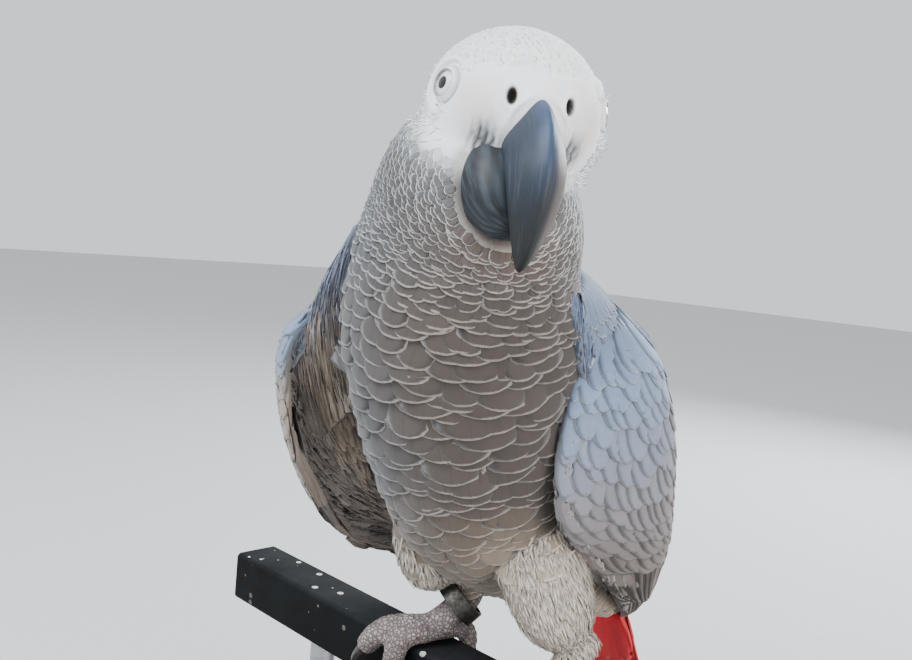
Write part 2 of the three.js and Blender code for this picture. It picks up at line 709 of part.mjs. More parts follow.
addNode(bird, "head", geometryOf(headNode()), material(0xd9d8d4, 0.8));
addNode(bird, "bill_upper", geometryOf(billNode(BILL_UPPER)), material(0x3a4149, 0.45));
addNode(bird, "bill_lower", geometryOf(billNode(BILL_LOWER, BILL_UPPER)), material(0x2f343b, 0.5));
addNode(bird, "eye_left", eyeBall(1), material(0xcfd2cc, 0.1));
addNode(bird, "eye_right", eyeBall(-1), material(0xcfd2cc, 0.1));
addNode(bird, "neck", geometryOf(beyond(beyond(whole, HEAD_CUT, -1), NECK_CUT)), material(0xa3a5a8, 0.85));
addNode(
  bird,
  "torso",
  geometryOf(beyond(beyond(whole, NECK_CUT, -1), TAIL_CUT, -1).subtract(ringRoom)),
  material(0x8c8b8a, 0.85),
);
addNode(bird, "tail", geometryOf(tailNode()), material(0xb3202a, 0.7));
addNode(bird, "wing_left", geometryOf(wingNode(LEFT_RAILS, 1)), material(0x868788, 0.8));
addNode(bird, "wing_right", geometryOf(wingNode(RIGHT_RAILS, -1)), material(0x7f7c79, 0.8));

for (const [name, leg] of Object.entries(LEGS)) {
  const thigh = thighForm(leg).subtract(wholeClear).subtract(ringRoom);
  addNode(bird, `thigh_${name}`, geometryOf(thigh), material(0xc9c3b8, 0.9));
  const clear = thighForm(leg, GAP).add(wholeClear).add(solid(railClear));
  addNode(bird, `foot_${name}`, geometryOf(footForm(leg).subtract(clear)), material(0x9b9794, 0.75));
  const footClear = footForm(leg, GAP).add(solid(railClear));
  for (const toe of TOES) {
    const claw = clawForm(leg, toe).subtract(footClear);
    addNode(bird, `claw_${name}_${toe[0]}`, geometryOf(claw), material(0x2c2a2b, 0.4));
  }
}
addNode(bird, "leg_ring", ringForm(LEGS.right), material(0x3b3a38, 0.4, 0.8));

const rail = addNode(model, "perch_rail", railForm(), material(0x1d2022, 0.55));
rail.position.set(0, RAIL_BACK, RAIL_TOP - RAIL_SIDE / 2);
addNode(model, "stand_base", baseForm(), material(0x2a2725, 0.5));
for (const [name, side] of [["left", 1], ["right", -1]]) {
  const rod = addNode(model, `stand_rod_${name}`, rodForm(), material(0x8d9094, 0.35, 0.9));
  rod.position.set(side * ROD_OUT, RAIL_BACK, (ROD_LOW + ROD_HIGH) / 2);
}

export default model;
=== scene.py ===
"""A grey parrot as a still, life-size museum model on a cut length of square rail: skin, plumage, bill, eyes,
feet, rail and stand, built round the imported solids. Lengths below are millimetres in the bird's own frame,
whose origin is the middle of the rail's top, until to_metres() places them."""

import math

import bmesh
import bpy
import numpy as np
from mathutils import Matrix, Vector
from mathutils.bvhtree import BVHTree


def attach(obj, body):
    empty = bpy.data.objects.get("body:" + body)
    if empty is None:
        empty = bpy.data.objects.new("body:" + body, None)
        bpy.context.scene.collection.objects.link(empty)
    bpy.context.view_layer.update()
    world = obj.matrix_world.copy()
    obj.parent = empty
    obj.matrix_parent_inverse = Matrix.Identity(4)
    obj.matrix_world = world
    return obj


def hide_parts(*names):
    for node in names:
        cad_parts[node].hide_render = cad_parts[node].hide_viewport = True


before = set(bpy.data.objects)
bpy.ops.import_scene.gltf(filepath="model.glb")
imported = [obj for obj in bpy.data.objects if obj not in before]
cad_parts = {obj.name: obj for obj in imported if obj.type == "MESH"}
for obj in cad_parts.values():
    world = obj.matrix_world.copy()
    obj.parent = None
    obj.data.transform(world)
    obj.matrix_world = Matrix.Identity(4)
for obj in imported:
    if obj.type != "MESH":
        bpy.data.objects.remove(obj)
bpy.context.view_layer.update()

bl_info = {
    "name": "Grey parrot model",
    "version": (1, 0, 0),
    "blender": (4, 5, 0),
    "location": "3D Viewport > Sidebar > Parrot",
    "description": "Builds a still grey parrot with solid feathers on a display stand",
    "category": "Object",
}

# -------- sizes shared with the solids

MM = 0.001
RAIL_TOP = 80.0
RAIL_BACK = -34.0
RAIL_SIDE = 16.0
RAIL_LENGTH = 230.0
RAIL_CORNER = 1.5
RAIL_WALL = 1.4
RAIL_BORE = 14
BASE_RADIUS = 125.0
BASE_THICK = 12.0
ROD_RADIUS = 4.0
ROD_OUT = 74.0
GAP = 0.3

BODY_YAW = 18.0
HEAD_YAW = 55.9
HEAD_PITCH = 15.0
HEAD_ROLL = 4.0
TAIL_YAW = 26.0

# the trunk's stations: the spine's place, then half the width and half the depth there
TRUNK = [
    (7, -18, 160, 12, 13), (4.6, -19, 150, 17.8, 19.2), (1.6, -20, 140, 22.7, 23.5),
    (-0.9, -21.5, 129, 26.6, 25.9), (-4, -20.6, 118, 28.8, 27.4), (-7.7, -18.3, 107, 30.2, 28.6),
    (-11, -14, 94, 32.4, 31), (-13.2, -7.7, 79, 32.3, 31.8), (-15, -1.5, 63, 30.5, 30.5),
    (-16.5, 6, 47, 27.5, 28), (-18, 17, 34, 23.5, 22.5), (-16, 30, 23, 19.5, 16.5),
    (-12.5, 43, 14, 15.5, 12), (-9.5, 53, 8, 12.5, 8), (-8, 61, 0, 10, 3.5),
]
HEAD_CENTRE = np.array((5.3, -20.4, 146.6))
HEAD_HALF = np.array((21.4, 23.2, 18.3))
EYE_MIDDLE = np.array((15.6, -7.6, 2.2))
EYE_AXIS = np.array((0.9, -0.39, 0.19))
EYE_RADIUS = 5.0
EYE_SUNK = 0.5
NOSTRIL_AT = np.array((6.7, -23.6, 4.6))
NOSTRIL_HALF = (1.45, 3.2, 2.5)
SKULL_RADIUS = 21.5
# bumps on the skull: the way out, the rise, the sharpness
SKULL_BUMPS = [
    ((0, -1, -0.12), 1.6, 9), ((0.75, -0.5, -0.55), 0.6, 6), ((-0.75, -0.5, -0.55), 2.2, 6),
    ((0, -0.62, -0.95), 1.5, 6), ((0, -0.35, 1), 0.8, 5), ((0.95, -0.45, 0.1), -0.7, 30),
    ((-0.95, -0.45, 0.1), -0.7, 30),
]
# the stations of the bill's halves in the head frame, with half the width and half the height
BILL_UPPER = [
    (0, -14, -5, 6.4, 10.6), (0, -21, -5.2, 6.5, 10.2), (0, -27, -6.6, 6.6, 9.6), (0, -31.4, -10, 6.4, 8.2),
    (0, -34, -15.2, 5.5, 6.5), (0, -35.2, -20.6, 4.1, 4.5), (0, -35.5, -25.6, 2.5, 2.6),
    (0, -35.2, -30, 0.6, 0.6),
]
BILL_LOWER = [
    (-1, -9, -11, 10.6, 9), (-2, -15, -13.2, 11.4, 9.8), (-2.6, -21, -16.2, 11, 9.4),
    (-2.6, -25.6, -19.2, 9.2, 7.6), (-2.2, -29, -21.6, 6.2, 4.8), (-1.8, -31.2, -22.4, 2.4, 2),
]
# each wing's rails from the wrist to the tips of the primaries: leading edge, middle, trailing edge
LEFT_RAILS = [
    [(15, 4, 95), (19, -4, 80), (19, -6, 63), (18.5, -2, 48), (17.5, 11, 35), (12.5, 31, 21), (6.5, 45, 11.5),
     (2, 53, 6), (-2, 58, 2.5)],
    [(13.5, 16, 103), (24.5, 20.5, 89.5), (27, 29, 69), (25.5, 35, 50), (21.5, 43, 34), (14.5, 50, 21.5),
     (8, 56, 13), (1.5, 61, 6), (-2.5, 64, 1.5)],
    [(-4, 25, 105), (-1, 35, 94), (1.5, 43, 76), (1.5, 49, 59), (-1, 56, 43), (-5.5, 62.5, 29.5),
     (-7, 66, 19), (-4.5, 68, 10), (-4.5, 70, 4.5)],
]
RIGHT_RAILS = [
    [(-46, -31.5, 97), (-54.5, -37, 84), (-57.5, -35, 68), (-58.5, -30, 51), (-59, -20, 35), (-59, -7, 22),
     (-56, 15, 13), (-49, 36, 4), (-39, 52, -5)],
    [(-51, -15, 102), (-63, -19.5, 87), (-67.5, -16.5, 70), (-68, -8.5, 53), (-67, 1, 38), (-62.5, 15, 26),
     (-57, 33, 16), (-49, 49, 7), (-38, 61, -2)],
    [(-33, 9, 104), (-38, 16, 95), (-44, 25, 80), (-46.5, 34, 63), (-46, 42, 49), (-43.5, 51, 35),
     (-40, 59, 24), (-35, 66, 13), (-28, 71, 3)],
]
ARM_HALF = (15.0, 9.0)
TAIL_LENGTH = 84.0
TAIL_DROP = 57.0
TAIL_ROOT = np.array((-7.5, 56, 10))
TAIL_ROOT_WIDTH = 16.0
TAIL_END_WIDTH = 40.0
TAIL_ARCH = 2.5
LEGS = {
    "right": {
        "side": -1,
        "thigh": [(-27, 3, 44, 12, 13), (-28.5, 1.5, 32, 13.5, 13.5), (-28, 2, 23, 11.5, 11.5),
                  (-24, 5, 15.5, 7.5, 7.5)],
        "heel": (-20, 7, 12.5),
        "pad": (-24.5, 0.5, 4.9),
    },
    "left": {
        "side": 1,
        "thigh": [(-4, 9, 42, 12, 13), (5, 6, 33, 12.6, 13), (14, 4.5, 22, 11.2, 11.6),
                  (19.5, 6.5, 12, 7, 7.2)],
        "heel": (20, 7.5, 12.5),
        "pad": (21.5, 0.5, 4.9),
    },
}
TARSUS_HALF = 4.0
# toe: degrees out from the way it points, length, half width, front (-1) or back (1)
TOES = {
    "outer_front": (40, 26, 3.9, -1),
    "inner_front": (12, 23, 3.6, -1),
    "outer_back": (30, 26, 3.6, 1),
    "inner_back": (-12, 19, 3.2, 1),
}
TOE_BEND = 4.2
SCUTE_PITCH = 1.9
CLAW_LENGTH = 10.0
CLAW_HALF = 1.7
CLAW_SUNK = 3
CLAW_TIP_OFF = 1.4
CLAW_ARCH = 1.4
RING_INNER = 5.7
RING_WALL = 1.0
RING_WIDTH = 5.0
RING_PLACE = 0.2
RING_RISE = 0.9

# -------- the stage, in metres and degrees

CAMERA_PLACE = (0.1563, -0.2206, 0.1934)
# turned left from +Y, dipped and rolled
CAMERA_TURNS = (44.5, 5.2, 5.3)
CAMERA_LENS = 37.105
# the place that the lamps point at
LIT_PLACE = (-0.012, -0.045, 0.164)
FLOOR_HALF = 4.0

# -------- colours

# Plumage and skin, as the eye reads them in soft daylight.
WHITE = "#FBFEFF"
FACE_WHITE = "#FAFBFF"
FACE_WARM = "#DDD2C8"
FLECK = "#A9B1B8"
NECK_GREY = "#46484B"
NECK_RIM = "#B7B6B4"
TAUPE = "#443C37"
TAUPE_RIM = "#A4968C"
BELLY = "#6C6053"
BELLY_RIM = "#AC9D8D"
CREAM = "#BFAE99"
CREAM_RIM = "#D8CDC0"
SKY_GREY = "#454C56"
SKY_RIM = "#B7C2CE"
SHOULDER = "#8296B6"
WING_GREY = "#858288"
WING_LOW = "#71655D"
WING_RIM = "#A8A4A3"
WING_DARK = "#3A3531"
UNDER_WING = "#7A6E67"
UNDER_LIGHT = "#A3978E"
UNDER_TAN = "#B5A28D"
UNDER_DARK_AND_SHADE = "#3B3632"
SCARLET = "#E42A35"
SCARLET_RIM = "#EE4E55"
STAIN = "#7C5B46"
WING_TIP = "#C9B8AC"
THIGH_TAN = "#A39585"
LID_GREY = "#4C5152"
NOSTRIL_SHADE = "#26241F"
MOUTH_GREY_AND_SHADE = "#3F444A"
MOUTH_RIM = "#A9A39C"
IRIS = "#F2F5F2"

# The bill's upper half, with painted reflections and a painted ridge highlight, then its lower half.
HORN = "#1A1F24"
HORN_BROWN_AND_REFLECTION = "#645B57"
HORN_SKY_REFLECTION = "#2B3849"
HORN_RIDGE_HIGHLIGHT = "#3F5A80"
HORN_TIP = "#181615"
LOWER_HORN = "#1B2228"
LOWER_STREAK = "#4F5B66"
LOWER_SHADE = "#08090A"


def linear(colour):
    """The linear RGB of an sRGB hex colour."""
    shares = [int(colour[i:i + 2], 16) / 255 for i in (1, 3, 5)]
    return np.array([c / 12.92 if c <= 0.04045 else ((c + 0.055) / 1.055) ** 2.4 for c in shares])


def rgba(colour):
    """An sRGB hex colour for a shader's socket."""
    return (*linear(colour), 1.0)


# -------- places and curves

def to_metres(points):
    """Bird frame millimetres to the object's frame in metres."""
    return (np.asarray(points, float) + (0, RAIL_BACK, RAIL_TOP)) * MM


def bird_mm(points):
    """The object's frame in metres to bird frame millimetres."""
    return np.asarray(points, float) / MM - (0, RAIL_BACK, RAIL_TOP)


def norm(vectors):
    return np.linalg.norm(vectors, axis=-1)


def unit(vectors):
    return vectors / np.maximum(norm(vectors)[..., None], 1e-9)


def pairs(first, second):
    """Two fields of numbers, or a field and a number, side by side."""
    return np.stack(np.broadcast_arrays(first, second), -1)


def ease(low, high, value):
    """A smooth step from 0 at `low` to 1 at `high`."""
    t = np.clip((np.asarray(value, float) - low) / (high - low), 0, 1)
    return t * t * (3 - 2 * t)


def left_of(yaw):
    return np.array((math.cos(math.radians(yaw)), math.sin(math.radians(yaw)), 0.0))


def curve(points, t):
    """Points at the shares t of a centripetal Catmull-Rom curve, with an equal share for each span."""
    given = np.asarray(points, float)
    spans = len(given) - 1
    padded = np.vstack([2 * given[0] - given[1], given, 2 * given[-1] - given[-2]])
    at = np.clip(np.asarray(t, float), 0, 1) * spans
    span = np.minimum(at.astype(int), spans - 1)
    w = (at - span)[..., None]
    a, b, c, d = (padded[span + k] for k in range(4))
    sides = ((a, b), (b, c), (c, d))
    t0, t1, t2 = (np.maximum(((q - p) ** 2).sum(-1, keepdims=True) ** 0.25, 1e-4) for p, q in sides)
    m1 = ((b - a) / t0 - (c - a) / (t0 + t1) + (c - b) / t1) * t1
    m2 = ((c - b) / t1 - (d - b) / (t1 + t2) + (d - c) / t2) * t1
    return b + m1 * w + (-3 * b + 3 * c - 2 * m1 - m2) * w ** 2 + (2 * b - 2 * c + m1 + m2) * w ** 3


class Tube:
    """A closed form along a smooth spine of stations (x, y, z, half width, half depth)."""

    def __init__(self, stations, side, blunt):
        table = np.asarray(stations, float)
        self.spots = table[:, :3]
        self.sizes = np.hstack([table[:, 3:], np.zeros((len(table), 1))])
        self.side = np.asarray(side, float)
        self.blunt = blunt

    def spine(self, along):
        return curve(self.spots, along)

    def axes(self, along):
        ahead = np.clip(np.asarray(along) + 1e-3, 0, 1)
        behind = np.clip(np.asarray(along) - 1e-3, 0, 1)
        tangent = unit(curve(self.spots, ahead) - curve(self.spots, behind))
        width = unit(self.side - tangent * (tangent @ self.side)[..., None])
        return tangent, width, np.cross(tangent, width)

    def outward(self, along, around):
        """The direction out of the spine, `around` from the width towards the depth."""
        _, width, depth = self.axes(along)
        return width * np.cos(around)[..., None] + depth * np.sin(around)[..., None]

    def surface(self, along, around, grow=0.0):
        along, around = np.asarray(along, float), np.asarray(around, float)
        tangent, width, depth = self.axes(along)
        size = curve(self.sizes, along)
        from_end = np.minimum(along, 1 - along)
        round_end = np.sqrt(np.maximum(0, 1 - (1 - from_end / self.blunt) ** 2))
        share = np.where(from_end >= self.blunt, 1, round_end)
        point = self.spine(along) + tangent * (grow * (2 * along - 1))[..., None]
        point = point + width * ((size[..., 0] + grow) * share * np.cos(around))[..., None]
        return point + depth * ((size[..., 1] + grow) * share * np.sin(around))[..., None]


trunk = Tube(TRUNK, left_of(BODY_YAW), 0.05)
HEAD_TURN = np.array(
    Matrix.Rotation(math.radians(HEAD_YAW), 3, "Z")
    @ Matrix.Rotation(math.radians(HEAD_PITCH), 3, "X")
    @ Matrix.Rotation(math.radians(HEAD_ROLL), 3, "Y")
)


def from_head(points):
    """Head frame (+X its left, -Y forward, +Z up) to bird frame."""
    return np.asarray(points, float) @ HEAD_TURN.T + HEAD_CENTRE


def to_head(points):
    return (np.asarray(points, float) - HEAD_CENTRE) @ HEAD_TURN


def wing_surface(rails):
    rails = [np.asarray(rail, float) for rail in rails]

    def surface(u, v):
        v = np.asarray(v, float)[..., None]
        front, middle, back = (curve(rail, u) for rail in rails)
        return front * 2 * (v - 0.5) * (v - 1) + middle * 4 * v * (1 - v) + back * 2 * v * (v - 0.5)

    return surface


def surface_normal(surface, u, v):
    step = 0.004
    along = surface(np.clip(u + step, 0, 1), v) - surface(np.clip(u - step, 0, 1), v)
    across = surface(u, v + step) - surface(u, v - step)
    return unit(np.cross(along, across))


WINGS = {"left": (wing_surface(LEFT_RAILS), 1.0), "right": (wing_surface(RIGHT_RAILS), -1.0)}

TAIL_LEFT = left_of(TAIL_YAW)
TAIL_BACK = np.array((-math.sin(math.radians(TAIL_YAW)), math.cos(math.radians(TAIL_YAW)), 0.0))
TAIL_FALL = math.radians(TAIL_DROP)
TAIL_ALONG = TAIL_BACK * math.cos(TAIL_FALL) - np.array((0, 0, math.sin(TAIL_FALL)))
TAIL_UP = np.cross(TAIL_LEFT, TAIL_ALONG)


def tail_surface(u, v):
    u, v = np.asarray(u, float)[..., None], np.asarray(v, float)[..., None]
    across = 2 * v - 1
    half = (TAIL_ROOT_WIDTH + (TAIL_END_WIDTH - TAIL_ROOT_WIDTH) * u) / 2
    return (TAIL_ROOT + TAIL_ALONG * u * TAIL_LENGTH + TAIL_LEFT * across * half
            + TAIL_UP * (-TAIL_ARCH * across ** 2 - 2 + 2 * u))


# -------- meshes

def place_object(name, data):
    made = bpy.data.objects.new(name, data)
    bpy.context.scene.collection.objects.link(made)
    return made


def finish_piece(name, mesh_data, material, replaced=()):
    """Makes the object, rides it on the model and hides the parts that it stands in for."""
    piece = place_object(name, mesh_data)
    for look in material if isinstance(material, (list, tuple)) else [material]:
        mesh_data.materials.append(look)
    for face in mesh_data.polygons:
        face.use_smooth = True
    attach(piece, "root")
    if replaced:
        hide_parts(*replaced)
    return piece


def sphere_into(bm, sides, rings, place):
    """Adds a sphere to the bmesh and moves its corners with place(unit points)."""
    made = bmesh.ops.create_uvsphere(bm, u_segments=sides, v_segments=rings, radius=1)
    corners = made["verts"]
    moved = place(np.array([v.co for v in corners]))
    for corner, spot in zip(corners, moved):
        corner.co = spot
    return corners


def tube_into(bm, tube, sides, rings, grow=0.0, shape=None):
    """Adds a Tube to the bmesh. shape(points, along, around) may change it."""
    def place(points):
        along = np.arccos(np.clip(points[:, 2], -1, 1)) / math.pi
        around = np.arctan2(-points[:, 1], points[:, 0])
        spots = tube.surface(along, around, grow)
        return shape(spots, along, around) if shape else spots
    return sphere_into(bm, sides, rings, place)


def close_mesh(bm, name):
    """Normals out, then a mesh in metres from a bmesh in bird frame millimetres."""
    bmesh.ops.recalc_face_normals(bm, faces=bm.faces)
    spots = to_metres(np.array([v.co for v in bm.verts]))
    for corner, spot in zip(bm.verts, spots):
        corner.co = spot
    made = bpy.data.meshes.new(name)
    bm.to_mesh(made)
    bm.free()
    return made


def modified(mesh_data, *modifiers):
    """A new mesh with the modifiers applied, each (type, settings)."""
    holder = place_object("form", mesh_data)
    for kind, settings in modifiers:
        made = holder.modifiers.new(kind.lower(), kind)
        for key, value in settings.items():
            setattr(made, key, value)
    graph = bpy.context.evaluated_depsgraph_get()
    result = bpy.data.meshes.new_from_object(holder.evaluated_get(graph))
    bpy.data.objects.remove(holder)
    return result


def mesh_arrays(mesh_data, key="co"):
    """The places or the normals of a mesh's corners."""
    values = np.zeros(len(mesh_data.vertices) * 3)
    mesh_data.vertices.foreach_get(key, values)
    return values.reshape(-1, 3)


def mark_points(mesh_data, name, values):
    """Stores a number for each corner of a mesh."""
    layer = mesh_data.attributes.new(name, "FLOAT", "POINT")
    layer.data.foreach_set("value", values.astype(np.float32))


def paint_points(mesh_data, name, colours):
    """Stores a linear colour for each corner of a mesh."""
    layer = mesh_data.color_attributes.new(name, "FLOAT_COLOR", "POINT")
    full = np.hstack([colours, np.ones((len(colours), 1))])
    layer.data.foreach_set("color", full.ravel().astype(np.float32))


def sharp_edges(bm, angle=1.0):
    return [edge for edge in bm.edges if len(edge.link_faces) == 2 and edge.calc_face_angle(0) > angle]


def round_edges(bm, edges, width, segments):
    bmesh.ops.bevel(bm, geom=edges, offset=width, offset_type="OFFSET", segments=segments, profile=0.5,
                    affect="EDGES", material=-1)


def flat_by_angle(piece, degrees=35):
    """Shades a piece smooth except across its sharp edges."""
    bm = bmesh.new()
    bm.from_mesh(piece.data)
    sharp = set(sharp_edges(bm, math.radians(degrees)))
    for edge in bm.edges:
        edge.smooth = edge not in sharp
    bm.to_mesh(piece.data)
    bm.free()


# -------- materials

def add(tree, kind, props=None, values=None, links=None):
    """Adds a node with its properties, its unlinked inputs and its links."""
    made = tree.nodes.new("ShaderNode" + kind)
    for key, value in (props or {}).items():
        setattr(made, key, value)
    for key, value in (values or {}).items():
        made.inputs[key].default_value = value
    for key, source in (links or {}).items():
        tree.links.new(source, made.inputs[key])
    return made


def new_material(name, **values):
    """A material with one Principled shader, whose uniform values are set on its own sockets."""
    made = bpy.data.materials.new(name)
    made.use_nodes = True
    tree = made.node_tree
    tree.nodes.clear()
    shader = add(tree, "BsdfPrincipled", values=values)
    add(tree, "OutputMaterial", links={"Surface": shader.outputs["BSDF"]})
    return made, tree, shader


def colour_on(tree, shader, colour):
    tree.links.new(colour, shader.inputs["Base Color"])


def bump_on(tree, shader, height, strength, depth_mm):
    values = {"Strength": strength, "Distance": depth_mm * MM}
    made = add(tree, "Bump", values=values, links={"Height": height})
    tree.links.new(made.outputs["Normal"], shader.inputs["Normal"])


def ramp(tree, source, stops):
    """A colour ramp on `source`, with stops of (place, sRGB hex)."""
    made = add(tree, "ValToRGB", links={"Fac": source})
    band = made.color_ramp
    while len(band.elements) < len(stops):
        band.elements.new(0.5)
    for element, (place, colour) in zip(band.elements, stops):
        element.position = place
        element.color = rgba(colour)
    return made.outputs["Color"]


def feed(tree, sockets, values):
    """Links every value that is a socket itself and sets the others; a hex colour is converted."""
    for socket, value in zip(sockets, values):
        if hasattr(value, "is_linked"):
            tree.links.new(value, socket)
        elif value is not None:
            socket.default_value = rgba(value) if isinstance(value, str) else value


def blend_colours(tree, share, first, second):
    made = add(tree, "Mix", {"data_type": "RGBA"})
    feed(tree, (made.inputs[0], made.inputs[6], made.inputs[7]), (share, first, second))
    return made.outputs[2]


def sums(tree, operation, first, second=None, clamp=False):
    made = add(tree, "Math", {"operation": operation, "use_clamp": clamp})
    feed(tree, made.inputs, (first, second))
    return made.outputs[0]


def times(tree, first, second):
    return sums(tree, "MULTIPLY", first, second)


def plus(tree, first, second):
    return sums(tree, "ADD", first, second)


def remap(tree, value, low, high, first=0.0, last=1.0, kind="SMOOTHSTEP"):
    """Maps low..high of a value to first..last."""
    made = add(tree, "MapRange", {"interpolation_type": kind},
               {"From Min": low, "From Max": high, "To Min": first, "To Max": last}, {"Value": value})
    return made.outputs[0]


def attribute(tree, name, output="Color"):
    return add(tree, "Attribute", {"attribute_name": name}).outputs[output]


def object_place(tree):
    return add(tree, "TexCoord").outputs["Object"]


def noise(tree, vector, scale, detail=3.0, roughness=0.5):
    values = {"Scale": scale, "Detail": detail, "Roughness": roughness}
    return add(tree, "TexNoise", values=values, links={"Vector": vector}).outputs["Fac"]


def object_noise(tree, spacing_mm, detail=3.0, roughness=0.5):
    return noise(tree, object_place(tree), 1000 / spacing_mm, detail, roughness)


def drawn_out(tree, vector, stretch):
    """A texture's place, stretched along the axes with a small share."""
    return add(tree, "Mapping", values={"Scale": stretch}, links={"Vector": vector}).outputs["Vector"]


def feather_material(name, rim_mm, barb_mm=0.55, barb_depth=0.05, sheen=0.25, shaft=0.5):
    """Grown feather keratin, unpolished: a matt vane of fine slanting barbs that glances light only softly,
    with a paler soft rim and a fine shaft. Barbs are drawn as coarse as they need to show."""
    made, tree, shader = new_material(name, **{
        "Roughness": 0.78, "IOR": 1.54, "Sheen Weight": sheen, "Sheen Roughness": 0.5,
        "Specular IOR Level": 0.3,
    })
    ground, rim = attribute(tree, "ground"), attribute(tree, "rim")
    place = add(tree, "UVMap", {"uv_map": "vane"}).outputs["UV"]
    parts = add(tree, "SeparateXYZ", links={"Vector": place})
    across = sums(tree, "ABSOLUTE", parts.outputs["X"])
    slant = sums(tree, "SUBTRACT", times(tree, parts.outputs["Y"], 0.8), across)
    barbs = sums(tree, "SINE", times(tree, slant, 2 * math.pi / barb_mm))
    mottle = object_noise(tree, 1.6, 4.0, 0.6)
    ragged = sums(tree, "SUBTRACT", object_noise(tree, 0.5, 2.0, 0.6), 0.5)
    near = plus(tree, attribute(tree, "edge", "Fac"), times(tree, ragged, rim_mm * 1.1))
    dark = blend_colours(tree, 0.30, ground, (0.0, 0.0, 0.0, 1.0))
    body = blend_colours(tree, mottle, dark, ground)
    line = times(tree, plus(tree, barbs, 1.0), 0.05)
    body = blend_colours(tree, line, body, rim)
    body = blend_colours(tree, remap(tree, across, 0.08, 0.24, shaft, 0.0), body, dark)
    rim_share = remap(tree, near, rim_mm * 0.4, rim_mm * 1.45, 1.0, 0.0)
    colour_on(tree, shader, blend_colours(tree, rim_share, body, rim))
    relief = plus(tree, times(tree, barbs, 0.25), mottle)
    bump_on(tree, shader, relief, 0.5, barb_depth * 2)
    return made


# -------- feathers

class Plumage:
    """Gathers closed vanes and makes them one mesh. A vane is a grid of rows from root to tip by columns from
    side to side: its upper face, and below it a lower face that shares the upper one's outline."""

    def __init__(self):
        self.spots, self.faces = [], []
        self.layers = {"edge": [], "vane": [], "bake": [], "ground": [], "rim": []}
        self.count = 0

    def grow(self, middle, normal, lift, thick, edge, vane, bake, ground, rim):
        """Adds vanes. middle, normal: (feathers, rows, columns, 3); the others follow the same grid, or have
        one value for each feather (bake: the root's place on the skin's unwrap, ground, rim)."""
        feathers, rows, columns = lift.shape
        inner = (rows - 2) * (columns - 2)
        top = middle + normal * lift[..., None]
        low = (middle + normal * (lift - thick)[..., None])[:, 1:-1, 1:-1]
        upper = np.arange(rows * columns).reshape(rows, columns)
        lower = upper.copy()
        lower[1:-1, 1:-1] = rows * columns + np.arange(inner).reshape(rows - 2, columns - 2)
        quads = []
        for grid, turn in ((upper, 1), (lower, -1)):
            ring = np.stack([grid[:-1, :-1], grid[:-1, 1:], grid[1:, 1:], grid[1:, :-1]], -1).reshape(-1, 4)
            quads.append(ring[:, ::turn])
        quads = np.vstack(quads)
        size = rows * columns + inner
        both_faces = np.concatenate([top.reshape(feathers, -1, 3), low.reshape(feathers, -1, 3)], 1)
        self.spots.append(both_faces.reshape(-1, 3))
        starts = self.count + size * np.arange(feathers)
        self.faces.append((quads[None] + starts[:, None, None]).reshape(-1, 4))
        self.count += size * feathers

        def both(grid):
            tail = grid.shape[3:]
            pair = grid.reshape(feathers, -1, *tail), grid[:, 1:-1, 1:-1].reshape(feathers, -1, *tail)
            return np.concatenate(pair, 1).reshape(-1, *tail)

        shares = pairs(np.linspace(0, 1, columns)[None, None, :], np.linspace(0, 1, rows)[None, :, None])
        patch = shares * BAKE_PATCH + bake[:, None, None, :]
        for key, values in (("edge", edge), ("vane", vane), ("bake", patch)):
            self.layers[key].append(both(values))
        for key, colour in (("ground", ground), ("rim", rim)):
            self.layers[key].append(np.repeat(colour, size, axis=0))

    def mesh(self, name):
        spots = to_metres(np.concatenate(self.spots))
        faces = np.concatenate(self.faces)
        made = bpy.data.meshes.new(name)
        made.vertices.add(len(spots))
        made.vertices.foreach_set("co", spots.ravel())
        made.loops.add(faces.size)
        made.loops.foreach_set("vertex_index", faces.ravel().astype(np.int32))
        made.polygons.add(len(faces))
        made.polygons.foreach_set("loop_start", np.arange(0, faces.size, 4, dtype=np.int32))
        made.update(calc_edges=True)
        layers = {key: np.concatenate(value) for key, value in self.layers.items()}
        for uv_name, key in (("OFBake", "bake"), ("vane", "vane")):
            layer = made.uv_layers.new(name=uv_name)
            layer.data.foreach_set("uv", layers[key][faces.ravel()].ravel().astype(np.float32))
        mark_points(made, "edge", layers["edge"])
        for key in ("ground", "rim"):
            paint_points(made, key, layers[key])
        made.validate()
        return made

    def finish(self, name, look, slot, replaced=()):
        finish_piece(name, self.mesh(name), look, replaced)


BAKE_PATCH = 0.003
# rows of a vane from the root to the tip, and columns from side to side
ROWS = np.array((0.0, 0.3, 0.56, 0.74, 0.87, 0.95, 1.0))
COLUMNS = np.array((-1.0, -0.5, 0.0, 0.5, 1.0))
FINE_ROWS = np.array((0.0, 0.45, 0.8, 0.95, 1.0))
WISP_ROWS = np.array((0.0, 0.4, 0.75, 1.0))
WISP_COLUMNS = np.array((-1.0, 0.0, 1.0))


def contour_outline(rows, blunt=0.45, tip=0.16, root=0.45, reach=0.4):
    """Half width of a body feather at each row: narrow at the root, widest past the middle, a round tip."""
    sides = root + (1 - root) * ease(0, reach, rows)
    end = np.sqrt(np.maximum(0, 1 - np.maximum(0, (rows - (1 - blunt)) / blunt) ** 2))
    return np.maximum(sides * end, tip)


def quill_outline(rows, blunt=0.22):
    """Half width of a flight or tail feather: nearly parallel sides and a short round tip."""
    return contour_outline(rows, blunt, root=0.62, reach=0.35)


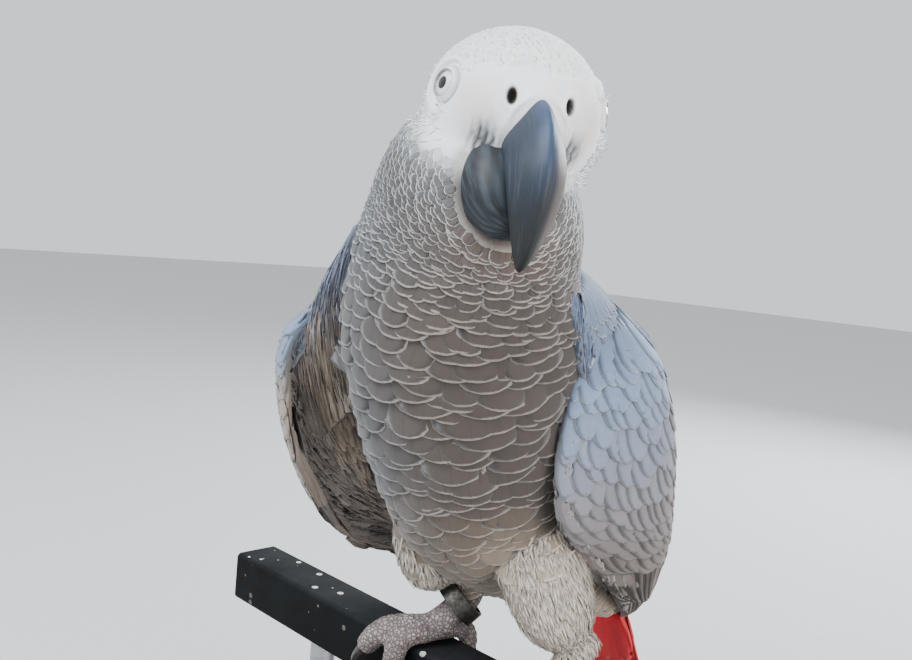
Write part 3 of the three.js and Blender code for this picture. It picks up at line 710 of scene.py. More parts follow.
def grow_vanes(plumage, middle, normal, length, half, outline, lift_root, lift_tip, camber, thick, bake,
               ground, rim, shaft_at=0.0, power=0.8, twist=0.0, rows=ROWS, columns=COLUMNS, fine=1.0):
    """Fills the numbers of each vane from its lengths, and adds them to the plumage. length and half have one
    value for each feather, and the lifts, camber, thick, twist and fine may have."""
    def each(value):
        return np.broadcast_to(np.asarray(value, float), length.shape)[:, None, None]
    t, a = rows[None, :, None], columns[None, None, :]
    width = half[:, None, None] * outline[None, :, None]
    lift = each(lift_root) + (each(lift_tip) - each(lift_root)) * t ** power
    lift = lift - each(camber) * a ** 2 + each(twist) * a * t
    side_gap = width * (1 - np.abs(a))
    edge = np.minimum(side_gap, length[:, None, None] * (1 - t)) * each(fine)
    vane = pairs(width * (a - shaft_at), length[:, None, None] * t)
    plumage.grow(middle, normal, lift, each(thick) * (1 - 0.5 * t), edge, vane, bake, ground, rim)


class Ground:
    """The skin that feathers are laid on, in bird frame millimetres."""

    def __init__(self, mesh_data):
        spots = bird_mm(mesh_arrays(mesh_data))
        polygons = [tuple(face.vertices) for face in mesh_data.polygons]
        self.tree = BVHTree.FromPolygons([tuple(p) for p in spots], polygons)
        normals = mesh_arrays(mesh_data, "normal")
        self.normals = [Vector(unit(normals[list(face)].mean(0))) for face in polygons]

    def land(self, point):
        spot, _, index, _ = self.tree.find_nearest(point)
        return spot, self.normals[index]

    def lay(self, roots, ways, lengths, halves, outline, rows, columns):
        """Grids of points and normals for vanes that follow the skin from each root along its way."""
        grid = np.zeros((len(roots), len(rows), len(columns), 3))
        normals = np.zeros_like(grid)
        steps = np.diff(rows, prepend=0)
        for i, (root, way, length, half) in enumerate(zip(roots, ways, lengths, halves)):
            spot, normal = self.land(Vector(root))
            heading = Vector(way)
            for r, step in enumerate(steps):
                if r:
                    spot, normal = self.land(spot + heading * (step * length))
                heading = (heading - normal * heading.dot(normal)).normalized()
                side = heading.cross(normal)
                for c, share in enumerate(columns):
                    grid[i, r, c], normals[i, r, c] = spot, normal
                    if share:
                        beside, beside_normal = self.land(spot + side * (share * half * outline[r]))
                        grid[i, r, c] = beside
                        normals[i, r, c] = (normal + beside_normal).normalized()
        return grid, normals


def lay_on_surface(surface, out, start, end, half, outline, rows=ROWS, full_span=None):
    """Grids of points and normals for vanes on a surface of (u, v), from start to end (feathers, 2)."""
    t = rows[None, :]
    du, dv = (end - start)[:, 0:1], (end - start)[:, 1:2]
    u, v = start[:, 0:1] + du * t, start[:, 1:2] + dv * t
    normal = out * surface_normal(surface, np.clip(u, 0.004, 0.996), v)
    ahead = surface(np.clip(u + du * 0.02, 0, 1), v + dv * 0.02)
    behind = surface(np.clip(u - du * 0.02, 0, 1), v - dv * 0.02)
    side = unit(np.cross(unit(ahead - behind), normal))
    offset = (half[:, None] * outline[None, :])[..., None] * COLUMNS[None, None, :]
    # the vane follows the surface's curve from side to side, and past its edge it bends round
    low, high = np.clip(v - 0.02, 0, 1), np.clip(v + 0.02, 0, 1)
    pace = ((surface(u, high) - surface(u, low)) * side).sum(-1) / (high - low)
    pace = np.where(np.abs(pace) < 8, np.where(pace < 0, -8.0, 8.0), pace)
    if full_span:
        offset = offset * np.clip(np.abs(pace) / full_span, 0.3, 1)[..., None]
    wanted = v[..., None] + offset / pace[..., None]
    held = np.clip(wanted, 0, 1)
    flat_u, flat_v = (np.clip(u, 0, 1)[..., None] + 0 * held).ravel(), held.ravel()
    grid = surface(flat_u, flat_v).reshape(*held.shape, 3)
    normals = out * surface_normal(surface, np.clip(flat_u, 0.004, 0.996), flat_v).reshape(*held.shape, 3)
    spare = ((wanted - held) * pace[..., None])[..., None]
    grid = grid + side[:, :, None, :] * spare * 0.45 - normals * np.abs(spare) * 0.5
    length = norm(np.diff(surface(u, v), axis=1)).sum(1)
    return grid, normals, length


def grow_on_surface(plumage, surface, out, start, end, half, outline, lift_root, lift_tip, camber, thick,
                    bake, colours, rows=ROWS, full_span=None, **form):
    """Lays vanes on a surface of (u, v) and adds them to the plumage."""
    grid, normals, length = lay_on_surface(surface, out, start, end, half, outline, rows, full_span)
    grow_vanes(plumage, grid, normals, length, half, outline, lift_root, lift_tip, camber, thick, bake,
               *colours, rows=rows, **form)


# -------- markings

FACE_WAY = unit(np.array((0.0, -0.96, -0.28)))


def eye_distance(local):
    """Distance from the nearer eye."""
    return np.minimum(*(norm(local - EYE_MIDDLE * (s, 1, 1)) for s in (1, -1)))


def face_share(local):
    """1 on the bare face, 0 where feathers cover the head."""
    way = unit(local)
    top = ease(0.62, 0.42, way[..., 2])
    bare = np.maximum(ease(0.42, 0.6, way @ FACE_WAY) * top, ease(9.5, 7.5, eye_distance(local)))
    return bare * ease(-13.5, -9, local[..., 2])


def mixed(first, second, share):
    """Two fields of vectors or colours, blended by a share for each point; a hex colour is converted."""
    first, second = (linear(field) if isinstance(field, str) else field for field in (first, second))
    share = np.asarray(share, float)[..., None]
    return first * (1 - share) + second * share


def toned(ground, rim, tone):
    """Both colours of each feather, made lighter or darker."""
    return np.clip(ground * tone[..., None], 0, 1), np.clip(rim * tone[..., None], 0, 1)


def plumage_colours(points, draw):
    """The ground and rim colour of the coat at each point."""
    p = np.asarray(points, float)
    local = to_head(p)
    z = p[..., 2]
    # painted cool sky light: the side towards the sky and the back turn bluer
    out = unit(p - (trunk.spots[7] + (p[..., 2:3] - trunk.spots[7][2]) * (0.02, -0.12, 1)))
    sky_lit_share = np.clip(ease(0.35, 0.95, -out @ left_of(BODY_YAW + 30)) + ease(0.0, 0.6, out[..., 1]), 0, 1)
    belly = ease(56, 26, z)
    vent = np.maximum(ease(26, 4, z), ease(0, -12, (p - (8, 6, 44)) @ unit(np.array((-0.75, 0.25, 0.6)))))
    # the head whitens towards the face, and food has stained the feathers under the bill
    reach = norm(local - (0, -12, 0))
    crown = ease(2, 8, local[..., 2])
    chin = ease(-17, -9, local[..., 2])
    fleck = ease(32, 25, reach) * 0.5 * (0.3 + 0.7 * chin)
    white = crown * ease(38, 27, reach) + (1 - crown) * ease(28, 21, reach) * chin
    white_rim = ease(36, 26, reach) * (0.45 + 0.55 * chin)
    stain = np.exp(-((norm((local - (-1, -17, -28)) / (11, 9, 8))) ** 2))
    upper = ease(92, 118, z)
    none = np.zeros(z.shape)
    ground, rim = mixed(TAUPE, TAUPE, none), mixed(TAUPE_RIM, TAUPE_RIM, none)
    for colour, share, rim_colour, rim_share in (
        (NECK_GREY, upper * 0.6, NECK_RIM, upper * 0.8),
        # painted sky light: bluer ground and rims on the sky-lit side and the back
        (SKY_GREY, sky_lit_share * 0.3, SKY_RIM, sky_lit_share * 0.5),
        (BELLY, belly, BELLY_RIM, belly),
        (CREAM, vent, CREAM_RIM, vent),
        (FLECK, fleck, WHITE, none),
        (WHITE, white, WHITE, white_rim),
        (STAIN, stain * 0.8, STAIN, stain * 0.35),
    ):
        ground, rim = mixed(ground, colour, share), mixed(rim, rim_colour, rim_share)
    # painted shade: darker on the bird's left side below the neck; each feather's tone also varies at random
    tone = (1 - 0.2 * ease(0, 16, p[..., 0]) * ease(112, 96, z)) * (1 + 0.07 * draw.standard_normal(z.shape))
    return toned(ground, rim, tone)


def body_bake(along, around):
    """A root's place on the unwrap of the trunk: round it and along it."""
    return pairs((around / (2 * math.pi)) % 1 * 0.98 + 0.005, 0.01 + 0.55 * along)


def head_bake(local):
    way = unit(local)
    turn = np.arctan2(way[..., 0], -way[..., 1]) / (2 * math.pi) + 0.5
    return pairs(turn * 0.98 + 0.005, 0.60 + 0.12 * (np.arcsin(way[..., 2]) / math.pi + 0.5))


# -------- the skin

# the grid on which the skin's forms are joined
SKIN_VOXEL = 1.1


def skull_place(points):
    """The skull's surface in the bird frame, in the directions of the given points of the head frame."""
    way = unit(points)
    height = np.zeros(len(way))
    for at, rise, sharp in SKULL_BUMPS:
        height += rise * np.exp(sharp * (way @ unit(np.array(at, float)) - 1))
    return from_head(way * HEAD_HALF + way * height[:, None])


def toe_point(leg, toe, along, off):
    """A point that has gone `along` over the rail's top and down its face, `off` from its surface."""
    splay, _, _, way = toe
    flat = RAIL_SIDE / 2
    corner = TOE_BEND * (math.pi / 2)
    run = along * math.cos(math.radians(splay))
    if run <= flat:
        out, height = run, off
    elif run >= flat + corner:
        out, height = flat + off, -(run - flat - corner)
    else:
        turn = (run - flat) / corner * (math.pi / 2)
        out, height = flat + off * math.sin(turn), off * math.cos(turn)
    return (leg["pad"][0] + leg["side"] * along * math.sin(math.radians(splay)), way * out, height)


def toe_tube(leg, toe):
    _, length, half, _ = toe
    stations = []
    for i in range(7):
        share = i / 6
        size = half * (1 - 0.16 * share)
        stations.append((*toe_point(leg, toe, share * length, size + GAP), size, size))
    return Tube(stations, left_of(0), 0.1)


def tarsus_tube(leg):
    heel, pad = np.array(leg["heel"], float), np.array(leg["pad"], float)
    middle = (heel + pad) / 2
    h = TARSUS_HALF
    stations = [
        (heel[0], heel[1] + 3, heel[2] + 4, h, h), (*heel, h, h), (*middle, h, h), (*pad, h + 0.5, h),
        (pad[0] - leg["side"] * 0.5, pad[1] - 4, pad[2] - 0.4, h, h - 0.4),
    ]
    return Tube(stations, left_of(0), 0.12)


def under_level(u, v):
    """How far the wing's inner face lies inside the rails' surface."""
    arm = 9 * np.exp(-(((u - 0.12) / 0.2) ** 2)) * np.sin(math.pi * np.minimum(1, 0.25 + v))
    return (4 + arm - 2 * np.maximum(0, u - 0.6)) * np.sqrt(np.clip(1 - (2 * v - 1) ** 4, 0.02, 1))


def wing_core(surface, out):
    """The flesh of a wing: a flat form inside the feathers, from the wrist to the middle of the hand."""
    def place(points):
        along = np.arccos(np.clip(points[:, 2], -1, 1)) / math.pi
        around = np.arctan2(points[:, 1], points[:, 0])
        share = np.sin(math.pi * along) ** 0.5
        u = 0.03 + 0.47 * along
        v = 0.5 + 0.43 * np.cos(around) * share
        level = under_level(u, v)
        height = -(level + 1) / 2 + np.maximum(0.6, (level - 5) / 2) * np.sin(around) * share
        normal = surface_normal(surface, u, v)
        return surface(u, v) + normal * (out * height)[:, None]
    return place


def arm_tube(surface, out):
    spots = []
    for u, v, deep in ((0.14, 0.4, 8), (0.32, 0.4, 6)):
        here = surface(np.array(u), np.array(v))
        spots.append(here - surface_normal(surface, np.array(u), np.array(v)) * out * deep)
    wide, slim = ARM_HALF
    inside = np.array(TRUNK[6][:3]) * 0.65 + spots[0] * 0.35 - (0, 0, 4)
    nearer = inside * 0.45 + spots[0] * 0.55
    stations = [
        (*inside, wide, wide), (*nearer, wide * 0.9, wide * 0.85), (*spots[0], slim * 1.2, slim),
        (*spots[1], slim * 0.7, slim * 0.6),
    ]
    return Tube(stations, (0, 0, 1), 0.2)


def eye_offsets(local, side):
    """Distance from an eye's axis, height along it from the ball's middle, the axis and the way off it."""
    axis = unit(EYE_AXIS * (side, 1, 1))
    rel = local - EYE_MIDDLE * (side, 1, 1)
    height = rel @ axis
    flat = rel - height[:, None] * axis
    return norm(flat), height, axis, flat


def bell(value, middle, width):
    """1 where the value meets the middle, fading to both sides."""
    return np.exp(-(((value - middle) / width) ** 2))


def sculpt_face(spots):
    """Lids, folds, nostrils, the cere's rim and the folds at the mouth's corners."""
    local = to_head(spots)
    for side in (1, -1):
        away, height, axis, flat = eye_offsets(local, side)
        near = (away < 9.5) & (height > -2)
        ball = np.sqrt(np.maximum(EYE_RADIUS ** 2 - away ** 2, 0))
        low = -flat[:, 2] / np.maximum(away, 1e-6)
        # the lid's rim stands on the ball, and fine folds run round it
        rim = 0.55 * bell(away, 3.45, 0.38) + 0.10 * bell(away, 4.6, 0.35)
        folds = 0.05 * np.sin(away * 2 * math.pi / 0.8) * ease(4.6, 5.4, away) * ease(8.0, 6.0, away)
        uneven = 1 + 0.3 * np.sin(3 * np.arctan2(flat[:, 0], flat[:, 2]))
        folds = folds * (0.65 + 0.6 * np.clip(low, 0, 1)) * uneven
        lid_height = np.where(away < 2.9, ball - 1.0, ball + 0.05) + rim
        blend = ease(5.8, 3.9, away)
        target = height * (1 - blend) + lid_height * blend + folds
        local = np.where(near[:, None], local + axis * (target - height)[:, None], local)
    for side in (1, -1):
        away = nostril_reach(local, side)
        plug = bell(plug_reach(local, side), 0, 0.85)
        swell = 0.30 * bell(away, 1.2, 0.22)
        local = local + unit(local) * (swell - 2.4 * ease(1.0, 0.6, away) + 1.9 * plug)[:, None]
        # wrinkles that run down beside the bill from the mouth's corner
        corner = mouth_corner(local, side)
        local = local + unit(local) * (0.34 * corner * mouth_wrinkle(local, side) - 0.35 * corner)[:, None]
    # the fleshy rims where the skin meets the horn
    for stations in (BILL_UPPER, BILL_LOWER):
        local = local + unit(local) * (0.45 * bell(bill_reach(local, stations), 1.14, 0.07))[:, None]
    return from_head(local)


def nostril_reach(local, side):
    """1 on the edge of a nostril."""
    return norm((local - NOSTRIL_AT * (side, 1, 1)) / NOSTRIL_HALF)


def plug_reach(local, side):
    """Distance from the middle of the small plug in a nostril."""
    return norm(local - NOSTRIL_AT * (side, 1, 1) - (side * 0.35, 0, -0.5))


def mouth_wrinkle(local, side):
    return np.sin(local[:, 0] * side * 4.2 + 0.5 * np.sin(local[:, 2] * 1.1))


def mouth_corner(local, side):
    """1 in the dark wrinkled skin at a corner of the mouth."""
    rel = (local - np.array((side * 9.8 - 0.6, -20.6, -6.0))) / (2.8, 5.0, 3.8)
    return np.exp(-(norm(rel) ** 2))


def bill_reach(local, stations):
    """Distance from a bill half's spine at the same depth, 1 on its surface."""
    table = np.array(stations, float)
    y = -local[:, 1]
    aside, high, wide, tall = (np.interp(y, -table[:, 1], table[:, k]) for k in (0, 2, 3, 4))
    reach = np.hypot((local[:, 0] - aside) / wide, (local[:, 2] - high) / tall)
    return np.where((y > 12) & (y < 30), reach, 9.0)


def skin_colours(spots):
    local = to_head(spots)
    ground, _ = plumage_colours(spots, np.random.RandomState(5))
    ground = ground * 0.8
    warm = np.exp(-((norm((np.abs(local) - (12.5, 16, 1)) / (4.5, 7, 4))) ** 2))
    ground = mixed(ground, mixed(FACE_WHITE, FACE_WARM, warm * 0.8), face_share(local))
    for side in (1, -1):
        away, height, _, _ = eye_offsets(local, side)
        ring = bell(away, 3.0, 0.26) * 0.9 + bell(away, 4.15, 0.2) * 0.6
        ground = mixed(ground, LID_GREY, np.where(height > 0, np.clip(ring, 0, 1), 0))
        # painted shade in the nostril pits, lighter over the small plug
        plug = ease(1.2, 0.6, plug_reach(local, side))
        ground = mixed(ground, NOSTRIL_SHADE, ease(1.02, 0.8, nostril_reach(local, side)) * (1 - 0.8 * plug))
        # dark skin at the mouth's corners, with painted shade deepest in the creases between the wrinkles
        corner = np.clip(1.3 * mouth_corner(local, side), 0, 1)
        lines = 0.5 + 0.5 * mouth_wrinkle(local, side)
        ground = mixed(ground, MOUTH_GREY_AND_SHADE, np.clip(corner * (1.5 - 1.0 * lines), 0, 1))
    near = bell(bill_reach(local, BILL_LOWER), 1.16, 0.1)
    return mixed(ground, MOUTH_RIM, near * (local[:, 2] < -9) * 0.8)


def refine(bm, wanted):
    """Divides the faces whose middle is wanted, and those beside them."""
    middles = np.array([face.calc_center_median() for face in bm.faces])
    chosen = [face for face, take in zip(bm.faces, wanted(middles)) if take]
    edges = list({edge for face in chosen for edge in face.edges})
    bmesh.ops.subdivide_edges(bm, edges=edges, cuts=1, use_grid_fill=True, smooth=0)


def detail_zone(points):
    """Round the eyes and the nostrils."""
    local = to_head(bird_mm(points))
    zone = np.zeros(len(local), bool)
    for side in (1, -1):
        zone |= norm(local - (EYE_MIDDLE + EYE_AXIS * 4) * (side, 1, 1)) < 9
        zone |= norm(local - NOSTRIL_AT * (side, 1, 1)) < 4.5
    return zone


def foot_zone(points):
    p = bird_mm(points)
    return (p[:, 2] < 16) & (p[:, 1] < 24) & (np.abs(p[:, 1]) < 24)


def build_skin():
    bm = bmesh.new()
    tube_into(bm, trunk, 56, 80, grow=-2.0)
    sphere_into(bm, 72, 48, skull_place)
    for leg in LEGS.values():
        tube_into(bm, Tube(leg["thigh"], left_of(0), 0.2), 32, 24, grow=-1.8)
        tube_into(bm, tarsus_tube(leg), 32, 32)
        for toe in TOES.values():
            tube_into(bm, toe_tube(leg, toe), 24, 36)
    for surface, out in WINGS.values():
        tube_into(bm, arm_tube(surface, out), 24, 16, grow=-5.0)
        sphere_into(bm, 32, 32, wing_core(surface, out))
    solid = modified(
        close_mesh(bm, "skin"),
        ("REMESH", {"mode": "VOXEL", "voxel_size": SKIN_VOXEL * MM, "use_smooth_shade": True}),
        ("SMOOTH", {"factor": 0.5, "iterations": 6}),
    )
    bm = bmesh.new()
    bm.from_mesh(solid)
    for zone in (detail_zone, detail_zone, foot_zone):
        refine(bm, zone)
    spots = bird_mm(np.array([v.co for v in bm.verts]))
    # under the small feathers of the head the skin sinks a little
    local = to_head(spots)
    on_head = ease(27, 23, norm(local)) * (1 - face_share(local))
    bm.normal_update()
    normals = np.array([v.normal for v in bm.verts])
    plain = spots - normals * (on_head * 0.9)[:, None]
    spots = sculpt_feet(sculpt_face(plain), normals)
    for corner, spot in zip(bm.verts, to_metres(spots)):
        corner.co = spot
    bmesh.ops.recalc_face_normals(bm, faces=bm.faces)
    made = bpy.data.meshes.new("skin")
    bm.to_mesh(made)
    bm.free()
    paint_points(made, "ground", skin_colours(plain))
    low = foot_zone(np.array([face.center for face in made.polygons]))
    made.polygons.foreach_set("material_index", low.astype(np.int32))
    return made


def sculpt_feet(spots, normals):
    """Rows of scutes across the toes."""
    raised = spots.copy()
    for leg in LEGS.values():
        for toe in TOES.values():
            _, length, half, _ = toe
            t = np.linspace(0, 1, 60)
            line = toe_tube(leg, toe).spine(t)
            near = (np.abs(spots - line.mean(0)) < length).all(1)
            gaps = norm(spots[near][:, None, :] - line[None])
            best = t[gaps.argmin(1)]
            close = gaps.min(1) < half * 1.35
            wave = np.abs(np.sin(math.pi * (best * length) / SCUTE_PITCH)) ** 0.5 - 0.6
            raised[near] += normals[near] * (0.3 * wave * ease(0.0, 0.15, best) * close)[:, None]
    return raised


SKIN = {}


def skin_ground():
    if "ground" not in SKIN:
        raise RuntimeError("the skin is built first")
    return SKIN["ground"]


def near_skin(points, limit):
    """True where the skin lies within the limit of a point."""
    return np.array([(skin_ground().land(Vector(spot))[0] - Vector(spot)).length < limit for spot in points])


# -------- coats

def random_on(draw, count, low, high):
    return low + (high - low) * draw.random_sample(count)


def stepped(draw, count):
    """Shares that fall from 1 to 0, a random one in each of `count` equal steps."""
    return ((np.arange(count) + draw.random_sample(count)) / count)[::-1]


def between(pair, share):
    return pair[0] + (pair[1] - pair[0]) * share


def grow_on_skin(plumage, roots, ways, length, half, depth, draw, bake, outline, thick=0.22, colours=None,
                 rough=0.12, lift_root=-0.3, rows=ROWS, columns=COLUMNS, power=0.8, fine=1.0):
    """Lays feathers of the given lengths on the skin, from their roots along their ways."""
    middle, normal = skin_ground().lay(roots, ways, length, half, outline, rows, columns)
    colours = colours or plumage_colours(middle[:, len(rows) // 2, len(columns) // 2], draw)
    lift_tip = depth * (1 + rough * draw.standard_normal(len(length)))
    grow_vanes(plumage, middle, normal, length, half, outline, lift_root * np.minimum(1, depth), lift_tip,
               0.0625 * half, thick, bake, *colours, power=power,
               twist=rough * 0.6 * draw.standard_normal(len(length)), rows=rows, columns=columns, fine=fine)


def trunk_rows(start, end, stops, steps, wides, draw, jitter=0.18):
    """Roots in staggered rows round the trunk: (along, around, row spacing, pitch). The spacing and pitch
    are given at stops along the spine."""
    lengths = norm(np.diff(trunk.spine(np.linspace(0, 1, 400)), axis=0))
    total = np.cumsum(lengths)[-1]
    along, row, found = start, 0, []
    while along < end:
        step, wide = np.interp(along, stops, steps), np.interp(along, stops, wides)
        radius = curve(trunk.sizes, np.array(along))[:2].mean()
        count = max(6, int(round(2 * math.pi * radius / wide)))
        turn = (np.arange(count) + 0.5 * (row % 2)) / count * 2 * math.pi
        turn = turn + jitter * draw.standard_normal(count) * wide / radius
        shift = jitter * draw.standard_normal(count) * step / total
        found.append(np.stack([along + shift, turn, np.full(count, step), np.full(count, wide)], 1))
        along += step / total
        row += 1
    return np.concatenate(found)


def trunk_roots(table, limit):
    """The roots on the skin, where the ray from the spine meets it, and the way the feathers lie."""
    along = np.clip(table[:, 0], 0.01, 0.99)
    start = trunk.spine(along)
    out = trunk.outward(along, table[:, 1])
    size = curve(trunk.sizes, along)[:, :2].max(1)
    roots, keep = np.zeros_like(start), np.zeros(len(start), bool)
    for i in range(len(start)):
        spot = skin_ground().tree.ray_cast(Vector(start[i]), Vector(out[i]), size[i] * limit[i])[0]
        if spot is not None:
            roots[i], keep[i] = spot, True
    return roots, trunk.axes(along)[0], keep


def head_flow(points, tangent):
    """Feathers lead away from the bill on the head, and along the spine on the body."""
    local = to_head(points)
    away = unit(points - from_head(np.array((0.0, -30.0, -4.0))))
    share = ease(44, 26, norm(local - (0, -10, 0)))
    return unit(mixed(tangent, away, share))


def off_bill(local):
    """True outside both halves of the bill."""
    return np.minimum(bill_reach(local, BILL_UPPER), bill_reach(local, BILL_LOWER)) > 1.0


def body_roots():
    """Staggered rows round the neck and trunk: small on the neck, wide on the breast, closer below."""
    draw = np.random.RandomState(31)
    stops = np.array([0.10, 0.18, 0.22, 0.26, 0.29, 0.33, 0.37, 0.42, 0.50, 0.58, 0.66, 0.74, 0.82, 0.92])
    steps = np.array([0.75, 0.80, 0.85, 0.95, 1.25, 2.2, 2.9, 3.3, 3.6, 2.9, 2.4, 2.3, 2.4, 2.6])
    wides = np.array([1.6, 1.7, 1.9, 2.4, 3.3, 5.4, 7.0, 8.4, 9.2, 7.2, 6.0, 5.4, 5.2, 5.2])
    table = trunk_rows(0.05, 0.95, stops, steps, wides, draw)
    roots, tangent, keep = trunk_roots(table, np.where(table[:, 0] < 0.2, 1.35, 1.06))
    local = to_head(roots)
    keep &= norm(local / (HEAD_HALF + 1.0)) > 1.0
    keep &= off_bill(local) & (face_share(local) < 0.5)
    table, roots, tangent = table[keep], roots[keep], tangent[keep]
    ways = head_flow(roots, tangent)
    ways = unit(ways + 0.07 * draw.standard_normal(ways.shape))
    step, wide = table[:, 2], table[:, 3]
    length = step * np.interp(table[:, 0], (0.27, 0.34), (4.0, 3.2))
    length = length * (1 + 0.09 * draw.standard_normal(len(step)))
    half = wide * 0.92 * (1 + 0.13 * draw.standard_normal(len(step)))
    by_head = ease(32, 24, norm(to_head(roots)))
    depth = np.minimum(2.0, 0.3 + 0.46 * step) * (1 - 0.7 * by_head)
    return roots, ways, length, half, depth, body_bake(table[:, 0], table[:, 1]), draw


def head_roots(draw):
    """Rings round the bare face, from its edge back to the neck, on the skull's own form."""
    side = unit(np.cross(FACE_WAY, (0.0, 0.0, 1.0)))
    over = np.cross(side, FACE_WAY)
    found, turn_at, row = [], math.radians(30), 0
    while turn_at < math.radians(176):
        step = np.interp(turn_at, (0.6, 1.4, 2.6), (0.85, 1.0, 1.5))
        pitch = np.interp(turn_at, (0.6, 1.4, 2.6), (1.2, 1.5, 2.2))
        count = max(8, int(2 * math.pi * SKULL_RADIUS * math.sin(turn_at) / pitch))
        places = np.arange(count) + 0.5 * (row % 2) + 0.16 * draw.standard_normal(count)
        round_it = (places / count * 2 * math.pi)[:, None]
        back = (turn_at + 0.14 * step / SKULL_RADIUS * draw.standard_normal(count))[:, None]
        ring = np.cos(round_it) * side + np.sin(round_it) * over
        way = np.cos(back) * FACE_WAY + np.sin(back) * ring
        found.append(np.hstack([way * HEAD_HALF, np.full((count, 1), step), np.full((count, 1), pitch)]))
        turn_at += step / SKULL_RADIUS
        row += 1
    found = np.vstack(found)
    spots = found[:, :3]
    keep = face_share(spots) < 0.05 + 0.85 * draw.random_sample(len(spots))
    keep &= off_bill(spots) & near_skin(skull_place(spots), 1.7)
    return spots[keep], found[keep, 3], found[keep, 4]


# -------- settings

class ParrotSettings(bpy.types.PropertyGroup):
    """Sizes and colours that a user of the model would change."""
    rim_width: bpy.props.FloatProperty(
        name="Rim width", description="Width of the pale rim of the breast feathers", default=0.5 * MM,
        min=0.1 * MM, max=2 * MM, unit="LENGTH")
    pupil_radius: bpy.props.FloatProperty(
        name="Pupil radius", description="Radius of the black pupil", default=1.45 * MM, min=0.5 * MM,
        max=3 * MM, unit="LENGTH")
    iris_colour: bpy.props.FloatVectorProperty(
        name="Iris", description="Colour of the iris", default=tuple(linear(IRIS)), size=3, min=0, max=1,
        subtype="COLOR")
    tail_colour: bpy.props.FloatVectorProperty(
        name="Tail", description="Colour of the tail's vanes", default=tuple(linear(SCARLET)), size=3, min=0,
        max=1, subtype="COLOR")
    lamp_power: bpy.props.FloatProperty(
        name="Key light", description="Power of the main studio light", default=16.0, min=0, max=100,
        unit="POWER")


# -------- operators

class PieceOperator(bpy.types.Operator):
    """Builds one piece or a group of like pieces."""
    bl_options = {"REGISTER", "UNDO"}

    def execute(self, context):
        self.build(context.scene.parrot)
        return {"FINISHED"}


class PARROT_OT_stage(PieceOperator):
    """Adds the camera, the soft lights, the pale floor and the even sky"""
    bl_idname = "parrot.stage"
    bl_label = "Stage and camera"

    def build(self, settings):
        scene = bpy.context.scene
        heading, dip, roll = (math.radians(turn) for turn in CAMERA_TURNS)
        level = math.cos(dip)
        ahead = Vector((-math.sin(heading) * level, math.cos(heading) * level, -math.sin(dip)))
        right = Vector((math.cos(heading), math.sin(heading), 0))
        above = right.cross(ahead)
        across = right * math.cos(roll) + above * math.sin(roll)
        upward = above * math.cos(roll) - right * math.sin(roll)
        data = bpy.data.cameras.new("camera")
        data.sensor_width = 36.0
        data.lens = CAMERA_LENS
        data.clip_start = 0.01
        camera = place_object("camera", data)
        turn = Matrix((across, upward, -ahead)).transposed().to_4x4()
        camera.matrix_world = Matrix.Translation(CAMERA_PLACE) @ turn
        scene.camera = camera

        # pale card, uncoated: a matt ground with a barely visible tooth
        made, tree, shader = new_material("floor_matt_card", **{"Roughness": 0.9})
        colour_on(tree, shader, ramp(tree, object_noise(tree, 3.0), [(0.3, "#C4C5C4"), (0.7, "#CCCCCA")]))
        bm = bmesh.new()
        bmesh.ops.create_grid(bm, x_segments=1, y_segments=1, size=FLOOR_HALF)
        data = bpy.data.meshes.new("floor")
        bm.to_mesh(data)
        bm.free()
        data.materials.append(made)
        place_object("floor", data)

        world = scene.world or bpy.data.worlds.new("studio")
        scene.world = world
        world.use_nodes = True
        sky = world.node_tree.nodes.get("Background") or world.node_tree.nodes.new("ShaderNodeBackground")
        sky.inputs["Color"].default_value = (0.90, 0.94, 1.0, 1)
        sky.inputs["Strength"].default_value = 1.1
        target, back, high = Vector(LIT_PLACE), -ahead, Vector((0, 0, 1))
        for name, spot, share, size, colour in (
            ("key", target - right * 0.55 + back * 0.45 + high * 0.75, 1.0, 0.6, (0.93, 0.97, 1.0)),
            ("fill", target + right * 0.7 + back * 0.7 + high * 0.1, 0.6, 0.8, (1.0, 0.95, 0.9)),
            ("rim", target + right * 0.55 - back * 0.75 + high * 0.5, 0.8, 0.4, (0.9, 0.95, 1.0)),
        ):
            light = bpy.data.lights.new(name, "AREA")
            light.energy = settings.lamp_power * share
            light.shape = "DISK"
            light.size = size
            light.color = colour
            holder = place_object(name, light)
            holder.location = spot
            holder.rotation_euler = (target - spot).to_track_quat("-Z", "Y").to_euler()


